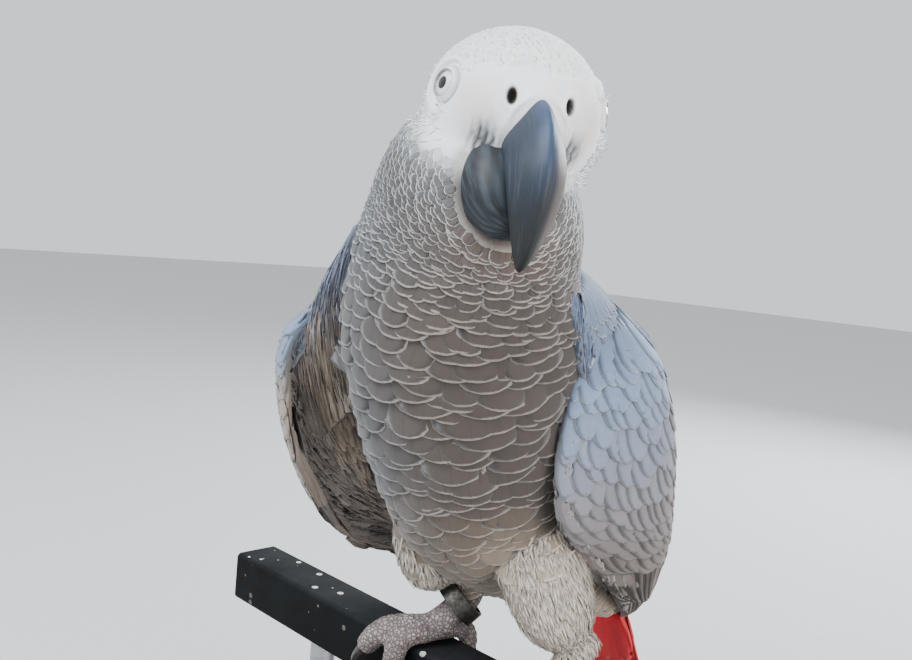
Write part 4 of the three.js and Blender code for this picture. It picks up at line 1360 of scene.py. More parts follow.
class PARROT_OT_skin(PieceOperator):
    """Builds one skin over the head, neck, trunk, arms, thighs and feet, with lids, nostrils and folds"""
    bl_idname = "parrot.skin"
    bl_label = "Skin"

    def build(self, settings):
        bare, tree, shader = new_material("bare_powdery_skin", **{
            "Roughness": 0.72, "IOR": 1.4, "Subsurface Weight": 0.08, "Subsurface Scale": 0.6 * MM,
            "Sheen Weight": 0.15, "Specular IOR Level": 0.35,
        })
        # bare skin under feather dust: matt and faintly translucent, with fine pores
        ground = attribute(tree, "ground")
        dusk = blend_colours(tree, 0.18, ground, (0.25, 0.22, 0.2, 1))
        colour_on(tree, shader, blend_colours(tree, object_noise(tree, 4.0), ground, dusk))
        bump_on(tree, shader, object_noise(tree, 0.7, 4.0, 0.65), 0.5, 0.12)

        scaled, tree, shader = new_material("scaled_foot_skin", **{"Roughness": 0.62, "IOR": 1.45})
        # dry reticulate scales a millimetre or two across, grey with pinkish grooves and dust on top
        cells = add(tree, "TexVoronoi", {"feature": "DISTANCE_TO_EDGE"}, {"Scale": 1000 / 1.15},
                    {"Vector": object_place(tree)})
        groove = remap(tree, cells.outputs["Distance"], 0.02, 0.22, kind="LINEAR")
        scales = [(0.3, "#6B6462"), (0.5, "#8F8581"), (0.72, "#B0A6A1")]
        tone = ramp(tree, object_noise(tree, 5.0, 4.0, 0.6), scales)
        colour_on(tree, shader, blend_colours(tree, groove, "#54484A", tone))
        height = plus(tree, groove, times(tree, object_noise(tree, 0.4), 0.3))
        bump_on(tree, shader, height, 0.7, 0.25)

        made = build_skin()
        SKIN["ground"] = Ground(made)
        finish_piece("skin", made, [bare, scaled],
                     ("head", "neck", "torso", "thigh_left", "thigh_right", "foot_left", "foot_right"))


class PARROT_OT_body_feathers(PieceOperator):
    """Lays the body feathers in staggered rows round the trunk"""
    bl_idname = "parrot.body_feathers"
    bl_label = "Body feathers"

    def build(self, settings):
        look = feather_material("grown_vane_keratin_grey", settings.rim_width / MM)
        roots, ways, length, half, depth, bake, draw = body_roots()
        low = roots[:, 2]
        for name, pick, slot in (
            ("throat_feathers", low > 124, "neck_feathers"),
            ("neck_feathers", (low <= 124) & (low > 106), "neck_feathers"),
            ("breast_feathers", (low <= 106) & (low > 58), "body_feathers"),
            ("belly_feathers", low <= 58, "body_feathers"),
        ):
            coat = Plumage()
            rows = FINE_ROWS if name in ("throat_feathers", "neck_feathers") else ROWS
            grow_on_skin(coat, roots[pick], ways[pick], length[pick], half[pick], depth[pick], draw,
                         bake[pick], contour_outline(rows, 0.34, 0.3), rows=rows,
                         fine=np.clip(4.4 / half[pick], 1.0, 2.8))
            coat.finish(name, look, slot)


class PARROT_OT_head_feathers(PieceOperator):
    """Lays the smallest feathers over the crown, nape and cheeks, and the bristles at the face's edge"""
    bl_idname = "parrot.head_feathers"
    bl_label = "Head feathers"

    def build(self, settings):
        look = feather_material("grown_vane_keratin_white", 0.3, barb_mm=0.4, barb_depth=0.03, shaft=0.15)
        draw = np.random.RandomState(47)
        spots, step, pitch = head_roots(draw)
        world = skull_place(spots)
        tangent = np.broadcast_to(trunk.axes(np.array(0.12))[0], world.shape)
        ways = unit(head_flow(world, tangent) + 0.08 * draw.standard_normal(world.shape))
        length = step * 2.9 * random_on(draw, len(spots), 0.88, 1.12)
        rows = np.array((0.0, 0.4, 0.75, 0.93, 1.0))
        coat = Plumage()
        # nearly flush at the face's edge, then deeper
        depth = 0.75 * ease(0.5, 0.0, face_share(spots))
        depth = depth * ease(30, 44, norm(spots - (0, -24, 0))) + 0.12
        grow_on_skin(coat, world, ways, length, pitch * 0.85, depth, draw, head_bake(spots), thick=0.07,
                     rough=0.15, rows=rows, outline=contour_outline(rows, tip=0.2), lift_root=-0.2)
        bristles(coat, draw)
        coat.finish("head_feathers", look, "head_feathers")


def bristles(coat, draw):
    """The fine white points that stand off the cheeks behind the face, against the light."""
    count = 780
    side = np.where(np.arange(count) % 6, 1, -1)
    spots = np.stack([side * random_on(draw, count, 14, 20), random_on(draw, count, -14, 5),
                      random_on(draw, count, -16, 7)], 1)
    spots = unit(spots / HEAD_HALF) * HEAD_HALF
    spots = spots[eye_distance(spots) > 7.0]
    world = from_head(spots)
    ways = unit(head_flow(world, np.zeros_like(world)) + 0.25 * draw.standard_normal(world.shape))
    rows = np.array((0.0, 0.5, 1.0))
    length = random_on(draw, len(spots), 3.4, 5.6)
    white = np.broadcast_to(linear(WHITE), world.shape)
    stand = random_on(draw, len(spots), 0.5, 1.2)
    stand = stand + (spots[:, 0] > 0) * random_on(draw, len(spots), 0.4, 1.9)
    grow_on_skin(coat, world, ways, length, np.full(len(spots), 0.26), stand, draw,
                 head_bake(spots), thick=0.12, rough=0.1, rows=rows, columns=WISP_COLUMNS,
                 outline=np.array((1.0, 0.7, 0.2)), colours=(white, white), power=1.3)


class PARROT_OT_bill(PieceOperator):
    """Models the two halves of the bill as worn horn"""
    bl_idname = "parrot.bill"
    bl_label = "Bill"

    def build(self, settings):
        horn, tree, shader = new_material("worn_slate_horn", **{
            "Roughness": 0.52, "IOR": 1.55, "Specular IOR Level": 0.35,
        })
        # bill horn, worn by rubbing: slate black with a dull sheen, fine growth lines and pale dusty scuffs
        # the ground colour holds painted reflections and a painted highlight along the ridge
        ground = attribute(tree, "ground")
        place = add(tree, "UVMap", {"uv_map": "horn"}).outputs["UV"]
        lines = noise(tree, place, 1.0, 5.0, 0.6)
        growth = noise(tree, drawn_out(tree, place, (0.5, 3.0, 1)), 1.0)
        deep = blend_colours(tree, 0.45, ground, (0.004, 0.005, 0.006, 1))
        tone = blend_colours(tree, object_noise(tree, 5.0, 4.0, 0.6), deep, ground)
        scuff = remap(tree, lines, 0.56, 0.85, 0.0, 0.2, "LINEAR")
        colour_on(tree, shader, blend_colours(tree, scuff, tone, "#9A9CA2"))
        height = plus(tree, lines, times(tree, growth, 0.35))
        bump_on(tree, shader, height, 0.5, 0.1)
        for name, stations in (("bill_upper", BILL_UPPER), ("bill_lower", BILL_LOWER)):
            horn_piece(name, np.array(stations, float), horn)


def horn_piece(name, stations, horn):
    upper = name == "bill_upper"
    turned = np.hstack([from_head(stations[:, :3]), stations[:, 3:]])
    tube = Tube(turned, HEAD_TURN @ (1, 0, 0), 0.06)
    kept = {}

    def shape(points, along, around):
        """A blunt ridge along the culmen with flatter flanks, shallow growth ridges and a worn edge."""
        kept["at"] = (along, around)
        middle = to_head(tube.spine(along))
        out = to_head(points) - middle
        grow = 0.003 * np.sin(along * 41 + 2.2 * np.sin(around * 3)) * np.sin(around * 5 + 9 * along)
        if upper:
            off = off_ridge(around)
            top = np.clip(out[:, 2] / np.maximum(norm(out), 1e-6), 0, 1)
            out[:, 0] *= 1 - 0.34 * top ** 1.5 * ease(0.75, 0.45, along)
            fade = ease(0.1, 0.3, along) * ease(1.0, 0.86, along)
            grow = grow + fade * (0.06 * bell(off, 0, 0.2) - 0.05 * bell(off, 0.75, 0.35))
            grow = grow - fade * 0.12 * np.abs(np.sin(around)) ** 2 * (off > 1.2)
        else:
            # squarer on the side away from the upper half, with a nearly straight edge
            square = (np.abs(np.cos(around)) ** 3 + np.abs(np.sin(around)) ** 3) ** (-1 / 3) - 1
            grow = grow + square * ease(0.3, -0.3, np.cos(around)) * 0.8
        return from_head(middle + out * (1 + grow)[:, None])

    bm = bmesh.new()
    tube_into(bm, tube, 72, 90, grow=0.0 if upper else -0.25, shape=shape)
    made = close_mesh(bm, name + "_horn")
    along, around = kept["at"]
    flank = np.cos(around)
    if upper:
        # painted light: a warm reflection over the brownish flank on the bird's left, a sky reflection on its
        # right flank towards the root, and a highlight along the ridge; the tip is darker
        tone = mixed(HORN, HORN_BROWN_AND_REFLECTION, ease(0.2, 0.8, flank))
        tone = mixed(tone, HORN_SKY_REFLECTION, ease(0.35, -0.75, flank) * ease(0.75, 0.35, along) * 0.7)
        tone = mixed(tone, HORN_RIDGE_HIGHLIGHT, bell(off_ridge(around), 0, 0.5) * ease(0.62, 0.25, along) * 0.75)
        tone = mixed(tone, HORN_TIP, ease(0.68, 0.95, along) * 0.75)
    else:
        streak = 0.5 + 0.5 * np.sin(around * 17 + 2 * np.sin(along * 7) + np.sin(around * 41))
        tone = mixed(LOWER_HORN, LOWER_STREAK, streak ** 2 * 0.4)
        tone = mixed(tone, LOWER_SHADE, ease(-0.1, 0.6, flank) * 0.85)
    paint_points(made, "ground", tone)
    corners = np.zeros(len(made.loops), np.int32)
    made.loops.foreach_get("vertex_index", corners)
    layer = made.uv_layers.new(name="horn")
    spread = pairs(off_ridge(around) * 9, along * 3)
    layer.data.foreach_set("uv", spread[corners].ravel().astype(np.float32))
    finish_piece(name + "_horn", made, horn, (name,))


def off_ridge(around):
    """The angle round a half's spine from its top ridge."""
    return np.abs((around - math.pi / 2 + math.pi) % (2 * math.pi) - math.pi)


class PARROT_OT_eyes(PieceOperator):
    """Models the eyes: a wet ball with a pale iris and a small black pupil"""
    bl_idname = "parrot.eyes"
    bl_label = "Eyes"

    def build(self, settings):
        wet, tree, shader = new_material("wet_eye", **{
            "Roughness": 0.35, "IOR": 1.376, "Coat Weight": 1.0, "Coat Roughness": 0.02, "Coat IOR": 1.376,
        })
        # the iris lies under a wet cornea: clear sharp glints over a soft fibrous ring
        off = attribute(tree, "off_axis", "Fac")
        pupil = settings.pupil_radius / MM
        iris = (*settings.iris_colour, 1.0)
        dim = blend_colours(tree, 0.3, iris, rgba("#A4AAA6"))
        fibrous = blend_colours(tree, object_noise(tree, 0.35), dim, iris)
        colour = blend_colours(tree, remap(tree, off, pupil - 0.12, pupil + 0.12), "#0A0A0B", fibrous)
        colour_on(tree, shader, blend_colours(tree, remap(tree, off, 2.75, 3.15), colour, "#303334"))
        for name, side in (("eye_left", 1), ("eye_right", -1)):
            axis = unit(EYE_AXIS * (side, 1, 1))
            turn = np.array(Vector((0, 0, 1)).rotation_difference(Vector(axis)).to_matrix())

            def place(points):
                ball = (points * EYE_RADIUS) @ turn.T + EYE_MIDDLE * (side, 1, 1)
                return from_head(ball - axis * EYE_SUNK)

            bm = bmesh.new()
            sphere_into(bm, 48, 64, place)
            made = close_mesh(bm, name + "_ball")
            away, height, _, _ = eye_offsets(to_head(bird_mm(mesh_arrays(made))), side)
            mark_points(made, "off_axis", np.where(height > 0, away, 9.0))
            finish_piece(name + "_ball", made, wet, (name,))


class PARROT_OT_claws(PieceOperator):
    """Models the curved claws"""
    bl_idname = "parrot.claws"
    bl_label = "Claws"

    def build(self, settings):
        horn, tree, shader = new_material("grown_claw_horn", **{"Roughness": 0.38, "IOR": 1.55})
        # claw horn, grown in layers: nearly black, a dull gloss, paler worn streaks
        streaks = [(0.35, "#211F20"), (0.7, "#4A4644")]
        colour_on(tree, shader, ramp(tree, object_noise(tree, 1.2, 4.0, 0.6), streaks))
        bump_on(tree, shader, object_noise(tree, 0.5), 0.3, 0.08)
        for leg_name, leg in LEGS.items():
            for toe_name, toe in TOES.items():
                _, length, half, _ = toe
                root_off = half * 0.84 + GAP
                stations = []
                for i in range(6):
                    share = i / 5
                    size = CLAW_HALF * (1 - 0.85 * share) + 0.15
                    off = root_off + (CLAW_TIP_OFF - half * 0.84 - GAP) * share ** 1.6
                    off = off + CLAW_ARCH * math.sin(math.pi * share)
                    along = length - CLAW_SUNK + share * (CLAW_LENGTH + CLAW_SUNK)
                    stations.append((*toe_point(leg, toe, along, off), size, size * 1.25))
                bm = bmesh.new()
                tube_into(bm, Tube(stations, left_of(0), 0.08), 20, 28)
                node = f"claw_{leg_name}_{toe_name}"
                finish_piece(node + "_horn", close_mesh(bm, node + "_horn"), horn, (node,))


def wing_tiers():
    """Tiers from the tips to the wrist. Each: count, roots and tips along the wing, roots and tips across it,
    half width, lift of the root and tip, thickness, kind."""
    tiers = [
        (13, (0.46, 0.50), (0.995, 0.93), (0.04, 0.80), (0.20, 0.86), 6.4, -1.2, 0.1, 0.2, "quill"),
        (17, (0.36, 0.34), (0.84, 0.93), (0.06, 0.97), (0.08, 0.96), 6.8, -1.6, 0.3, 0.16, "quill"),
        (17, (0.28, 0.28), (0.68, 0.80), (0.03, 0.98), (0.04, 0.97), 6.6, -1.2, 0.42, 0.12, "quill"),
    ]
    for row in range(10):
        root = 0.36 - 0.038 * row
        tip = root + 0.17 - 0.006 * row
        tiers.append((20 + row // 3, (root, root), (tip, tip), (0.02, 0.98), (0.02, 0.98), 5.6 - 0.22 * row,
                      -0.8, 0.5 + 0.045 * row, 0.08, "covert"))
    return tiers


class PARROT_OT_wing_feathers(PieceOperator):
    """Lays the flight feathers on both faces of each wing, its outer coverts and the down inside it"""
    bl_idname = "parrot.wing_feathers"
    bl_label = "Wing feathers"

    def build(self, settings):
        look = feather_material("grown_vane_keratin_wing", 0.35, barb_mm=0.6, shaft=0.25)
        for name, (surface, out) in WINGS.items():
            draw = np.random.RandomState(61 if name == "left" else 62)
            coat, down = Plumage(), Plumage()
            # the inner face shows the flight feathers alone
            for face, tiers in ((1.0, wing_tiers()), (-1.0, wing_tiers()[:3])):
                for tier in tiers:
                    lay_tier(coat, name, surface, out, face, tier, draw)
            lay_shoulder(coat, name, surface, draw)
            for lay in (lay_lining, lay_down, lay_edge):
                lay(down, name, surface, out, draw)
            coat.finish(f"wing_{name}_feathers", look, "wing_feathers", (f"wing_{name}",))
            down.finish(f"wing_{name}_down", look, "wing_feathers")


def lay_tier(coat, name, surface, out, face, tier, draw):
    count, roots, tips, root_across, tip_across, half, low, high, thick, kind = tier
    quill = kind == "quill"
    share = np.linspace(0, 1, count)
    start = pairs(between(roots, share), between(root_across, share))
    end = pairs(between(tips, share), between(tip_across, share))
    end = np.clip(end + (0.007 if quill else 0.011) * draw.standard_normal(end.shape), 0, 1)
    halves = half * (1 + 0.06 * draw.standard_normal(count))
    outline = quill_outline(ROWS, 0.3) if quill else contour_outline(ROWS, 0.34)
    colours = wing_colours(name, start, end, kind, draw)
    # folded flight feathers are stacked, the trailing ones on top
    stagger = (1.5 if quill else 0.0) * share + 0.01 * draw.standard_normal(count)
    inward = 0.0 if face > 0 else 2.6
    grow_on_surface(coat, surface, out * face, start, end, halves, outline, low + inward * 1.2,
                    high + inward + stagger, 0.08, thick, wing_bake(name, face, start), colours,
                    full_span=42.0, shaft_at=-0.25 if quill else 0.0, twist=0.2)


def lay_shoulder(coat, name, surface, draw):
    """The scapulars, which lead from the back over the top of the wing."""
    def patch(u, v):
        u, v = np.asarray(u, float), np.asarray(v, float)
        turn = -0.2 - 1.15 * v if name == "left" else math.pi + 0.2 + 1.15 * v
        first = trunk.surface(np.full(turn.shape, 0.335), turn, -1.0)
        last = surface(np.full(v.shape, 0.24), v)
        top = surface(np.zeros(v.shape), v) + np.array((0, 0, 2.5))
        w = u[..., None]
        return first * (1 - w) ** 2 + 2 * top * w * (1 - w) + last * w * w

    spot = np.array(0.5), np.array(0.6)
    from_trunk = patch(*spot) - np.array((-13.0, -8.0, 85.0))
    side = math.copysign(1.0, surface_normal(patch, *spot) @ from_trunk)
    count = 15
    for row in range(9):
        share = (np.arange(count) + 0.5 * (row % 2)) / count
        start = pairs(max(0.58 - 0.07 * row, 0.01), 0.06 + 0.9 * share)
        end = np.clip(start + pairs(0.42, 0.02 * draw.standard_normal(count)), 0, 1)
        halves = (3.9 - 0.2 * row) * (1 + 0.08 * draw.standard_normal(count))
        ground, rim = wing_colours(name, 0.2 * start, 0.2 * end, "covert", draw)
        ground = mixed(ground, SKY_GREY, 0.35)
        grow_on_surface(coat, patch, side, start, end, halves, contour_outline(ROWS, 0.4), -0.7,
                        0.5 + 0.07 * row, 0.3, 0.1, wing_bake(name, 1.0, start), (ground, rim), twist=0.15)


def lay_lining(coat, name, surface, out, draw):
    """The soft feathers between the wing's front and the body, which hide the arm."""
    plain = name == "left"
    turn = 0.05 if plain else math.pi - 0.3
    deep, sink = (0.34, 0.0) if plain else (0.8, 7.5)
    view = np.array((0.7, -0.7, 0.1))

    def patch(w, v):
        w, v = np.asarray(w, float), np.asarray(v, float)
        first = trunk.surface(0.315 + 0.27 * deep * v, np.full(v.shape, turn), -1.5)
        u, across = 0.5 * deep * v, np.full(v.shape, 0.1)
        last = surface(u, across) - out * surface_normal(surface, u, across) * 4.0
        w = w[..., None]
        # a soft swell that sinks between the body and the wing at its lower end
        swell = np.array((0, -1.0, 0)) + np.array((0, 0, 4.0)) * (1 - v[..., None])
        swell = swell - view * sink * ease(0.5, 1.0, v)[..., None]
        return first * (1 - w) + last * w + np.sin(math.pi * np.clip(w, 0, 1)) * swell

    side = math.copysign(1.0, surface_normal(patch, np.array(0.5), np.array(0.5)) @ view)
    count, stray, shortest = (260, 0.015, 0.3) if plain else (780, 0.05, 0.12)
    v = 0.86 * stepped(draw, count)
    w = draw.random_sample(count)
    start = pairs(w, v)
    reach = pairs(stray * draw.standard_normal(count), random_on(draw, count, shortest, shortest * 1.4))
    halves = random_on(draw, count, 1.8, 2.8)
    ground, rim = down_colours(name, pairs(0.5 * deep * v, 0.2 + 0.5 * (1 - w)), draw)
    if plain:
        ground = mixed(ground, SHOULDER, 0.85)
    else:
        # painted shade on the lining towards the body
        ground = mixed(ground, UNDER_DARK_AND_SHADE, 0.05 + 0.5 * ease(0.45, 0.05, w))
    grow_on_surface(coat, patch, side, start, np.clip(start + reach, 0, 1), halves,
                    contour_outline(FINE_ROWS, 0.5, 0.12), -0.9, random_on(draw, count, 0.3, 1.3), 0.4, 0.12,
                    wing_bake(name, -1.0, 0.3 * start), (ground, rim), FINE_ROWS,
                    twist=(0.1 if plain else 0.4) * draw.standard_normal(count))


def lay_down(coat, name, surface, out, draw):
    """Soft ruffled coverts that fill the inner face."""
    count = 1700
    u = 0.01 + 0.74 * stepped(draw, count)
    v = random_on(draw, count, *((0.0, 0.98) if name == "right" else (0.1, 0.85)))
    du = random_on(draw, count, 0.05, 0.095)
    start = pairs(u, v)
    end = np.clip(pairs(u + du, v + 0.035 * draw.standard_normal(count)), 0, 1)
    halves = random_on(draw, count, 1.5, 2.7)
    puff = 7.0 * bell(u, 0.42, 0.24) * np.sin(math.pi * np.clip(v, 0, 1)) ** 0.6
    tip = under_level(u + du, end[:, 1]) + puff + random_on(draw, count, -0.3, 1.5)
    root = np.maximum(under_level(u, v) + puff - 2.6, 0.5)
    colours = down_colours(name, start, draw)
    grow_on_surface(coat, surface, -out, start, end, halves, contour_outline(FINE_ROWS, 0.5, 0.12), root,
                    np.maximum(tip, 0.9), 0.5, 0.14, wing_bake(name, -1.0, start), colours, FINE_ROWS,
                    twist=0.5 * draw.standard_normal(count), power=0.7)


def lay_edge(coat, name, surface, out, draw):
    """Small coverts that wrap round the leading edge from the outer face to the inner one."""
    count = 560 if name == "right" else 460
    u = 0.01 + 0.72 * stepped(draw, count)
    turn = random_on(draw, count, -1.5, 1.5)
    du = random_on(draw, count, 0.05, 0.07)
    along = np.clip(u[:, None] + du[:, None] * FINE_ROWS[None, :], 0, 1)
    zero = np.zeros_like(along)
    rim_line = surface(along, zero)
    out_way = out * surface_normal(surface, np.clip(along, 0.004, 0.996), zero + 0.01)
    ahead = unit(surface(np.clip(along + 0.01, 0, 1), zero) - surface(np.clip(along - 0.01, 0, 1), zero))
    edge_way = unit(rim_line - surface(along, zero + 0.05))
    edge_way = unit(edge_way - ahead * (edge_way * ahead).sum(-1, keepdims=True))
    sine, cosine = np.sin(turn)[:, None, None], np.cos(turn)[:, None, None]
    normal = unit(out_way * sine + edge_way * cosine)
    middle = rim_line - out_way * 2.0 - edge_way * 1.6
    middle = middle + out_way * sine * 2.2 + edge_way * cosine * 1.5
    side = unit(np.cross(ahead, normal))
    halves = random_on(draw, count, 1.8, 2.8)
    outline = contour_outline(FINE_ROWS, 0.5)
    offset = (halves[:, None] * outline[None])[..., None] * COLUMNS[None, None]
    grid = middle[:, :, None, :] + side[:, :, None, :] * offset[..., None]
    normals = np.repeat(normal[:, :, None, :], len(COLUMNS), axis=2)
    length = norm(np.diff(middle, axis=1)).sum(1)
    start, end = pairs(u, 0), pairs(u + du, 0)
    inner = down_colours(name, start, draw)
    outer = wing_colours(name, start, end, "covert", draw)
    share = ease(-1.7, -1.1, turn) if name == "left" else ease(0.5, 1.5, turn)
    ground, rim = (mixed(low, high, share) for low, high in zip(inner, outer))
    grow_vanes(coat, grid, normals, length, halves, outline, -1.2, random_on(draw, count, 0.0, 0.6),
               0.9, 0.14, wing_bake(name, 1.0, start), ground, rim, twist=0.2, rows=FINE_ROWS)


def wing_bake(name, face, start):
    """A root's place on the unwrap of a wing's two faces."""
    across = 0.02 + 0.2 * start[:, 1] + (0.5 if face < 0 else 0) + (0.25 if name == "left" else 0)
    return pairs(across, 0.74 + 0.24 * np.clip(start[:, 0], 0, 1))


def wing_colours(name, start, end, kind, draw):
    """Blue-grey at the shoulder, soft lilac grey below it, and paler worn ends."""
    u = (start[:, 0] + end[:, 0]) / 2
    ground = mixed(mixed(SHOULDER, WING_GREY, ease(0.08, 0.34, u)), WING_LOW, ease(0.26, 0.5, u))
    rim = mixed(SKY_RIM, WING_RIM, ease(0.08, 0.34, u))
    if name == "right":
        front = ease(0.3, 0.08, (start[:, 1] + end[:, 1]) / 2) * ease(0.1, 0.25, u)
        ground, rim = mixed(ground, UNDER_LIGHT, front), mixed(rim, UNDER_TAN, front)
        dark = 0.1 + 0.7 * ease(0.6, 0.9, end[:, 0]) if kind == "quill" else np.zeros(len(u))
        ground = mixed(ground, WING_DARK, dark)
    else:
        ground = mixed(ground, WING_LOW, 0.8 * ease(0.35, 0.65, start[:, 1]) * ease(0.06, 0.2, u))
        ground = mixed(ground, WING_DARK, 0.35 * ease(0.8, 0.97, start[:, 1]))
        ground = mixed(ground, WING_TIP, 0.8 * ease(0.72, 0.92, end[:, 0]))
    return toned(ground, rim, 1 + 0.035 * draw.standard_normal(len(u)))


def down_colours(name, start, draw):
    """Mottled brown grey, blue-grey at the top, a tan patch, painted shade towards the body, and darker
    towards the lower edge.
    """
    u, v = start[:, 0], start[:, 1]
    wave = np.sin(41 * u + 7 * v + 1.3) + np.sin(23 * v - 17 * u) + np.sin(67 * u + 31 * v + 4.0)
    mottle = np.clip(0.45 + 0.22 * wave + 0.07 * draw.standard_normal(len(u)), 0, 1)
    ground = mixed(mixed(UNDER_WING, UNDER_LIGHT, mottle), SHOULDER, 0.8 * ease(0.2, 0.05, u))
    tan = np.exp(-(((u - 0.28) / 0.15) ** 2) - ((v - 0.48) / 0.17) ** 2)
    ground = mixed(ground, UNDER_TAN, 0.8 * tan)
    # painted shade where the wing's inner face meets the body; the second mask darkens the lower edge
    dark = ease(0.6, 0.75, v) * ease(0.2, 0.36, u) * 0.7
    dark = np.maximum(dark, 0.9 * ease(0.52, 0.66, u) * ease(0.35, 0.1, v))
    ground = mixed(ground, UNDER_DARK_AND_SHADE, dark * (0.25 if name == "left" else 0.85))
    rim = mixed(ground, WING_RIM, np.clip(0.15 + 0.2 * draw.random_sample(len(u)), 0, 1))
    return toned(ground, rim, 1.02 + 0.04 * draw.standard_normal(len(u)))


class PARROT_OT_tail_feathers(PieceOperator):
    """Lays the scarlet tail feathers and their coverts"""
    bl_idname = "parrot.tail_feathers"
    bl_label = "Tail feathers"

    def build(self, settings):
        look = feather_material("grown_vane_keratin_scarlet", 0.4, barb_mm=0.6, sheen=0.15)
        draw = np.random.RandomState(71)
        coat = Plumage()
        facing = math.copysign(1.0, surface_normal(tail_surface, np.array(0.5), np.array(0.5)) @ TAIL_UP)

        def red_and_rim(count):
            pair = np.array(settings.tail_colour), linear(SCARLET_RIM)
            return tuple(np.broadcast_to(colour, (count, 3)) for colour in pair)

        count = 12
        order = np.arange(count)
        share = np.linspace(0, 1, count)
        start = pairs(0.08, 0.5 + (share - 0.5) * 0.8)
        end = pairs(1 - 0.06 * np.abs(2 * share - 1) + 0.01 * draw.random_sample(count) - 0.005, share)
        # the middle feathers lie on top
        rank = 2 * np.minimum(order, count - 1 - order) + (order > (count - 1) / 2)
        lift = 0.5 + 0.35 * rank
        bake = pairs(0.52 + 0.1 * share, 0.58)
        tone = 1 + 0.05 * draw.standard_normal(count)[:, None]
        colours = [colour * tone for colour in red_and_rim(count)]
        grow_on_surface(coat, tail_surface, facing, start, np.clip(end, 0, 1), np.full(count, 4.5),
                        quill_outline(ROWS), lift - 0.2, lift, 0.3, 0.5, bake, colours)
        # coverts: face, count, reach along the tail, lift
        for face, count, tip, lift in (
            (1.0, 7, 0.5, 4.6), (1.0, 6, 0.34, 5.4), (-1.0, 7, 0.46, 1.6), (-1.0, 6, 0.3, 2.4),
        ):
            v = np.linspace(0, 1, count)
            start = pairs(0.05, 0.2 + 0.6 * v)
            reach = tip + 0.04 * draw.random_sample(count) + 0.08 * np.sin(math.pi * v)
            bake = pairs(0.64 + 0.1 * v, 0.58 if face > 0 else 0.59)
            top = lift * np.sin(math.pi * v) ** 0.5 if face > 0 else lift
            grow_on_surface(coat, tail_surface, facing * face, start, pairs(reach, 0.12 + 0.76 * v),
                            np.full(count, 4.8), contour_outline(ROWS), top - 1.2, top, 0.4, 0.4, bake,
                            red_and_rim(count))
        coat.finish("tail_feathers_red", look, "tail_feathers", ("tail",))


class PARROT_OT_thigh_feathers(PieceOperator):
    """Lays the fluffy feathers of the thighs"""
    bl_idname = "parrot.thigh_feathers"
    bl_label = "Thigh feathers"

    def build(self, settings):
        look = feather_material("grown_down_cream", 0.3, barb_mm=0.5, barb_depth=0.06, sheen=0.4, shaft=0.0)
        draw = np.random.RandomState(83)
        coat = Plumage()
        for leg in LEGS.values():
            tube = Tube(leg["thigh"], left_of(0), 0.2)
            count = 4200
            share = (np.arange(count) + 0.5) / count
            along = 0.03 + 0.94 * share
            around = np.arange(count) * math.pi * (3 - math.sqrt(5))
            roots = tube.surface(along, around, -1.8)
            keep = near_skin(roots, 1.6)
            roots, tangent, share = roots[keep], tube.axes(along)[0][keep], share[keep]
            count = len(roots)
            ways = unit(tangent + 0.11 * draw.standard_normal(tangent.shape))
            length = random_on(draw, count, 6.5, 12.0) * (1 - 0.35 * share)
            half = random_on(draw, count, 0.3, 0.62)
            ground = mixed(CREAM, THIGH_TAN, draw.random_sample(count) * 0.35)
            if leg["side"] < 0:
                ground = mixed(ground, STAIN, ease(-22, -15, roots[:, 0]) * 0.7)
            rim = mixed(ground, CREAM_RIM, 0.6)
            place = 0.02 + (0.25 if leg["side"] > 0 else 0)
            bake = pairs(0.2 * (around[keep] / (2 * math.pi) % 1) + place, 0.57 + 0.02 * share)
            grow_on_skin(coat, roots, ways, length, half, random_on(draw, count, 1.0, 1.7), draw, bake,
                         colours=(ground, rim), rough=0.1, thick=0.1, rows=WISP_ROWS, columns=WISP_COLUMNS,
                         outline=contour_outline(WISP_ROWS, 0.7, 0.08))
        coat.finish("thigh_feathers", look, "thigh_feathers")


class PARROT_OT_ring(PieceOperator):
    """Turns the closed leg ring"""
    bl_idname = "parrot.ring"
    bl_label = "Leg ring"

    def build(self, settings):
        metal, tree, shader = new_material("worn_dark_steel", **{"Metallic": 1.0})
        # a steel ring darkened by dirt, with patches rubbed bright
        wear = object_noise(tree, 1.4, 5.0, 0.7)
        colour_on(tree, shader, ramp(tree, wear, [(0.35, "#3A3836"), (0.6, "#5C5854"), (0.8, "#8D8985")]))
        tree.links.new(remap(tree, wear, 0, 1, 0.62, 0.34, "LINEAR"), shader.inputs["Roughness"])
        bump_on(tree, shader, wear, 0.3, 0.05)
        heel, pad = Vector(LEGS["right"]["heel"]), Vector(LEGS["right"]["pad"])
        bm = bmesh.new()
        corners = [bm.verts.new((RING_INNER + RING_WALL * a, 0, RING_WIDTH * (b - 0.5)))
                   for a, b in ((0, 0), (1, 0), (1, 1), (0, 1))]
        profile = [bm.edges.new((corners[i], corners[(i + 1) % 4])) for i in range(4)]
        bmesh.ops.spin(bm, geom=corners + profile, cent=(0, 0, 0), axis=(0, 0, 1), angle=2 * math.pi,
                       steps=64, use_merge=True)
        bmesh.ops.remove_doubles(bm, verts=bm.verts, dist=1e-4)
        round_edges(bm, sharp_edges(bm), 0.22, 3)
        turn = Vector((0, 0, 1)).rotation_difference(heel - pad).to_matrix().to_4x4()
        middle = heel.lerp(pad, RING_PLACE) + Vector((0, 0, RING_RISE))
        bmesh.ops.transform(bm, matrix=Matrix.Translation(middle) @ turn, verts=bm.verts)
        finish_piece("leg_ring_band", close_mesh(bm, "leg_ring_band"), metal, ("leg_ring",))


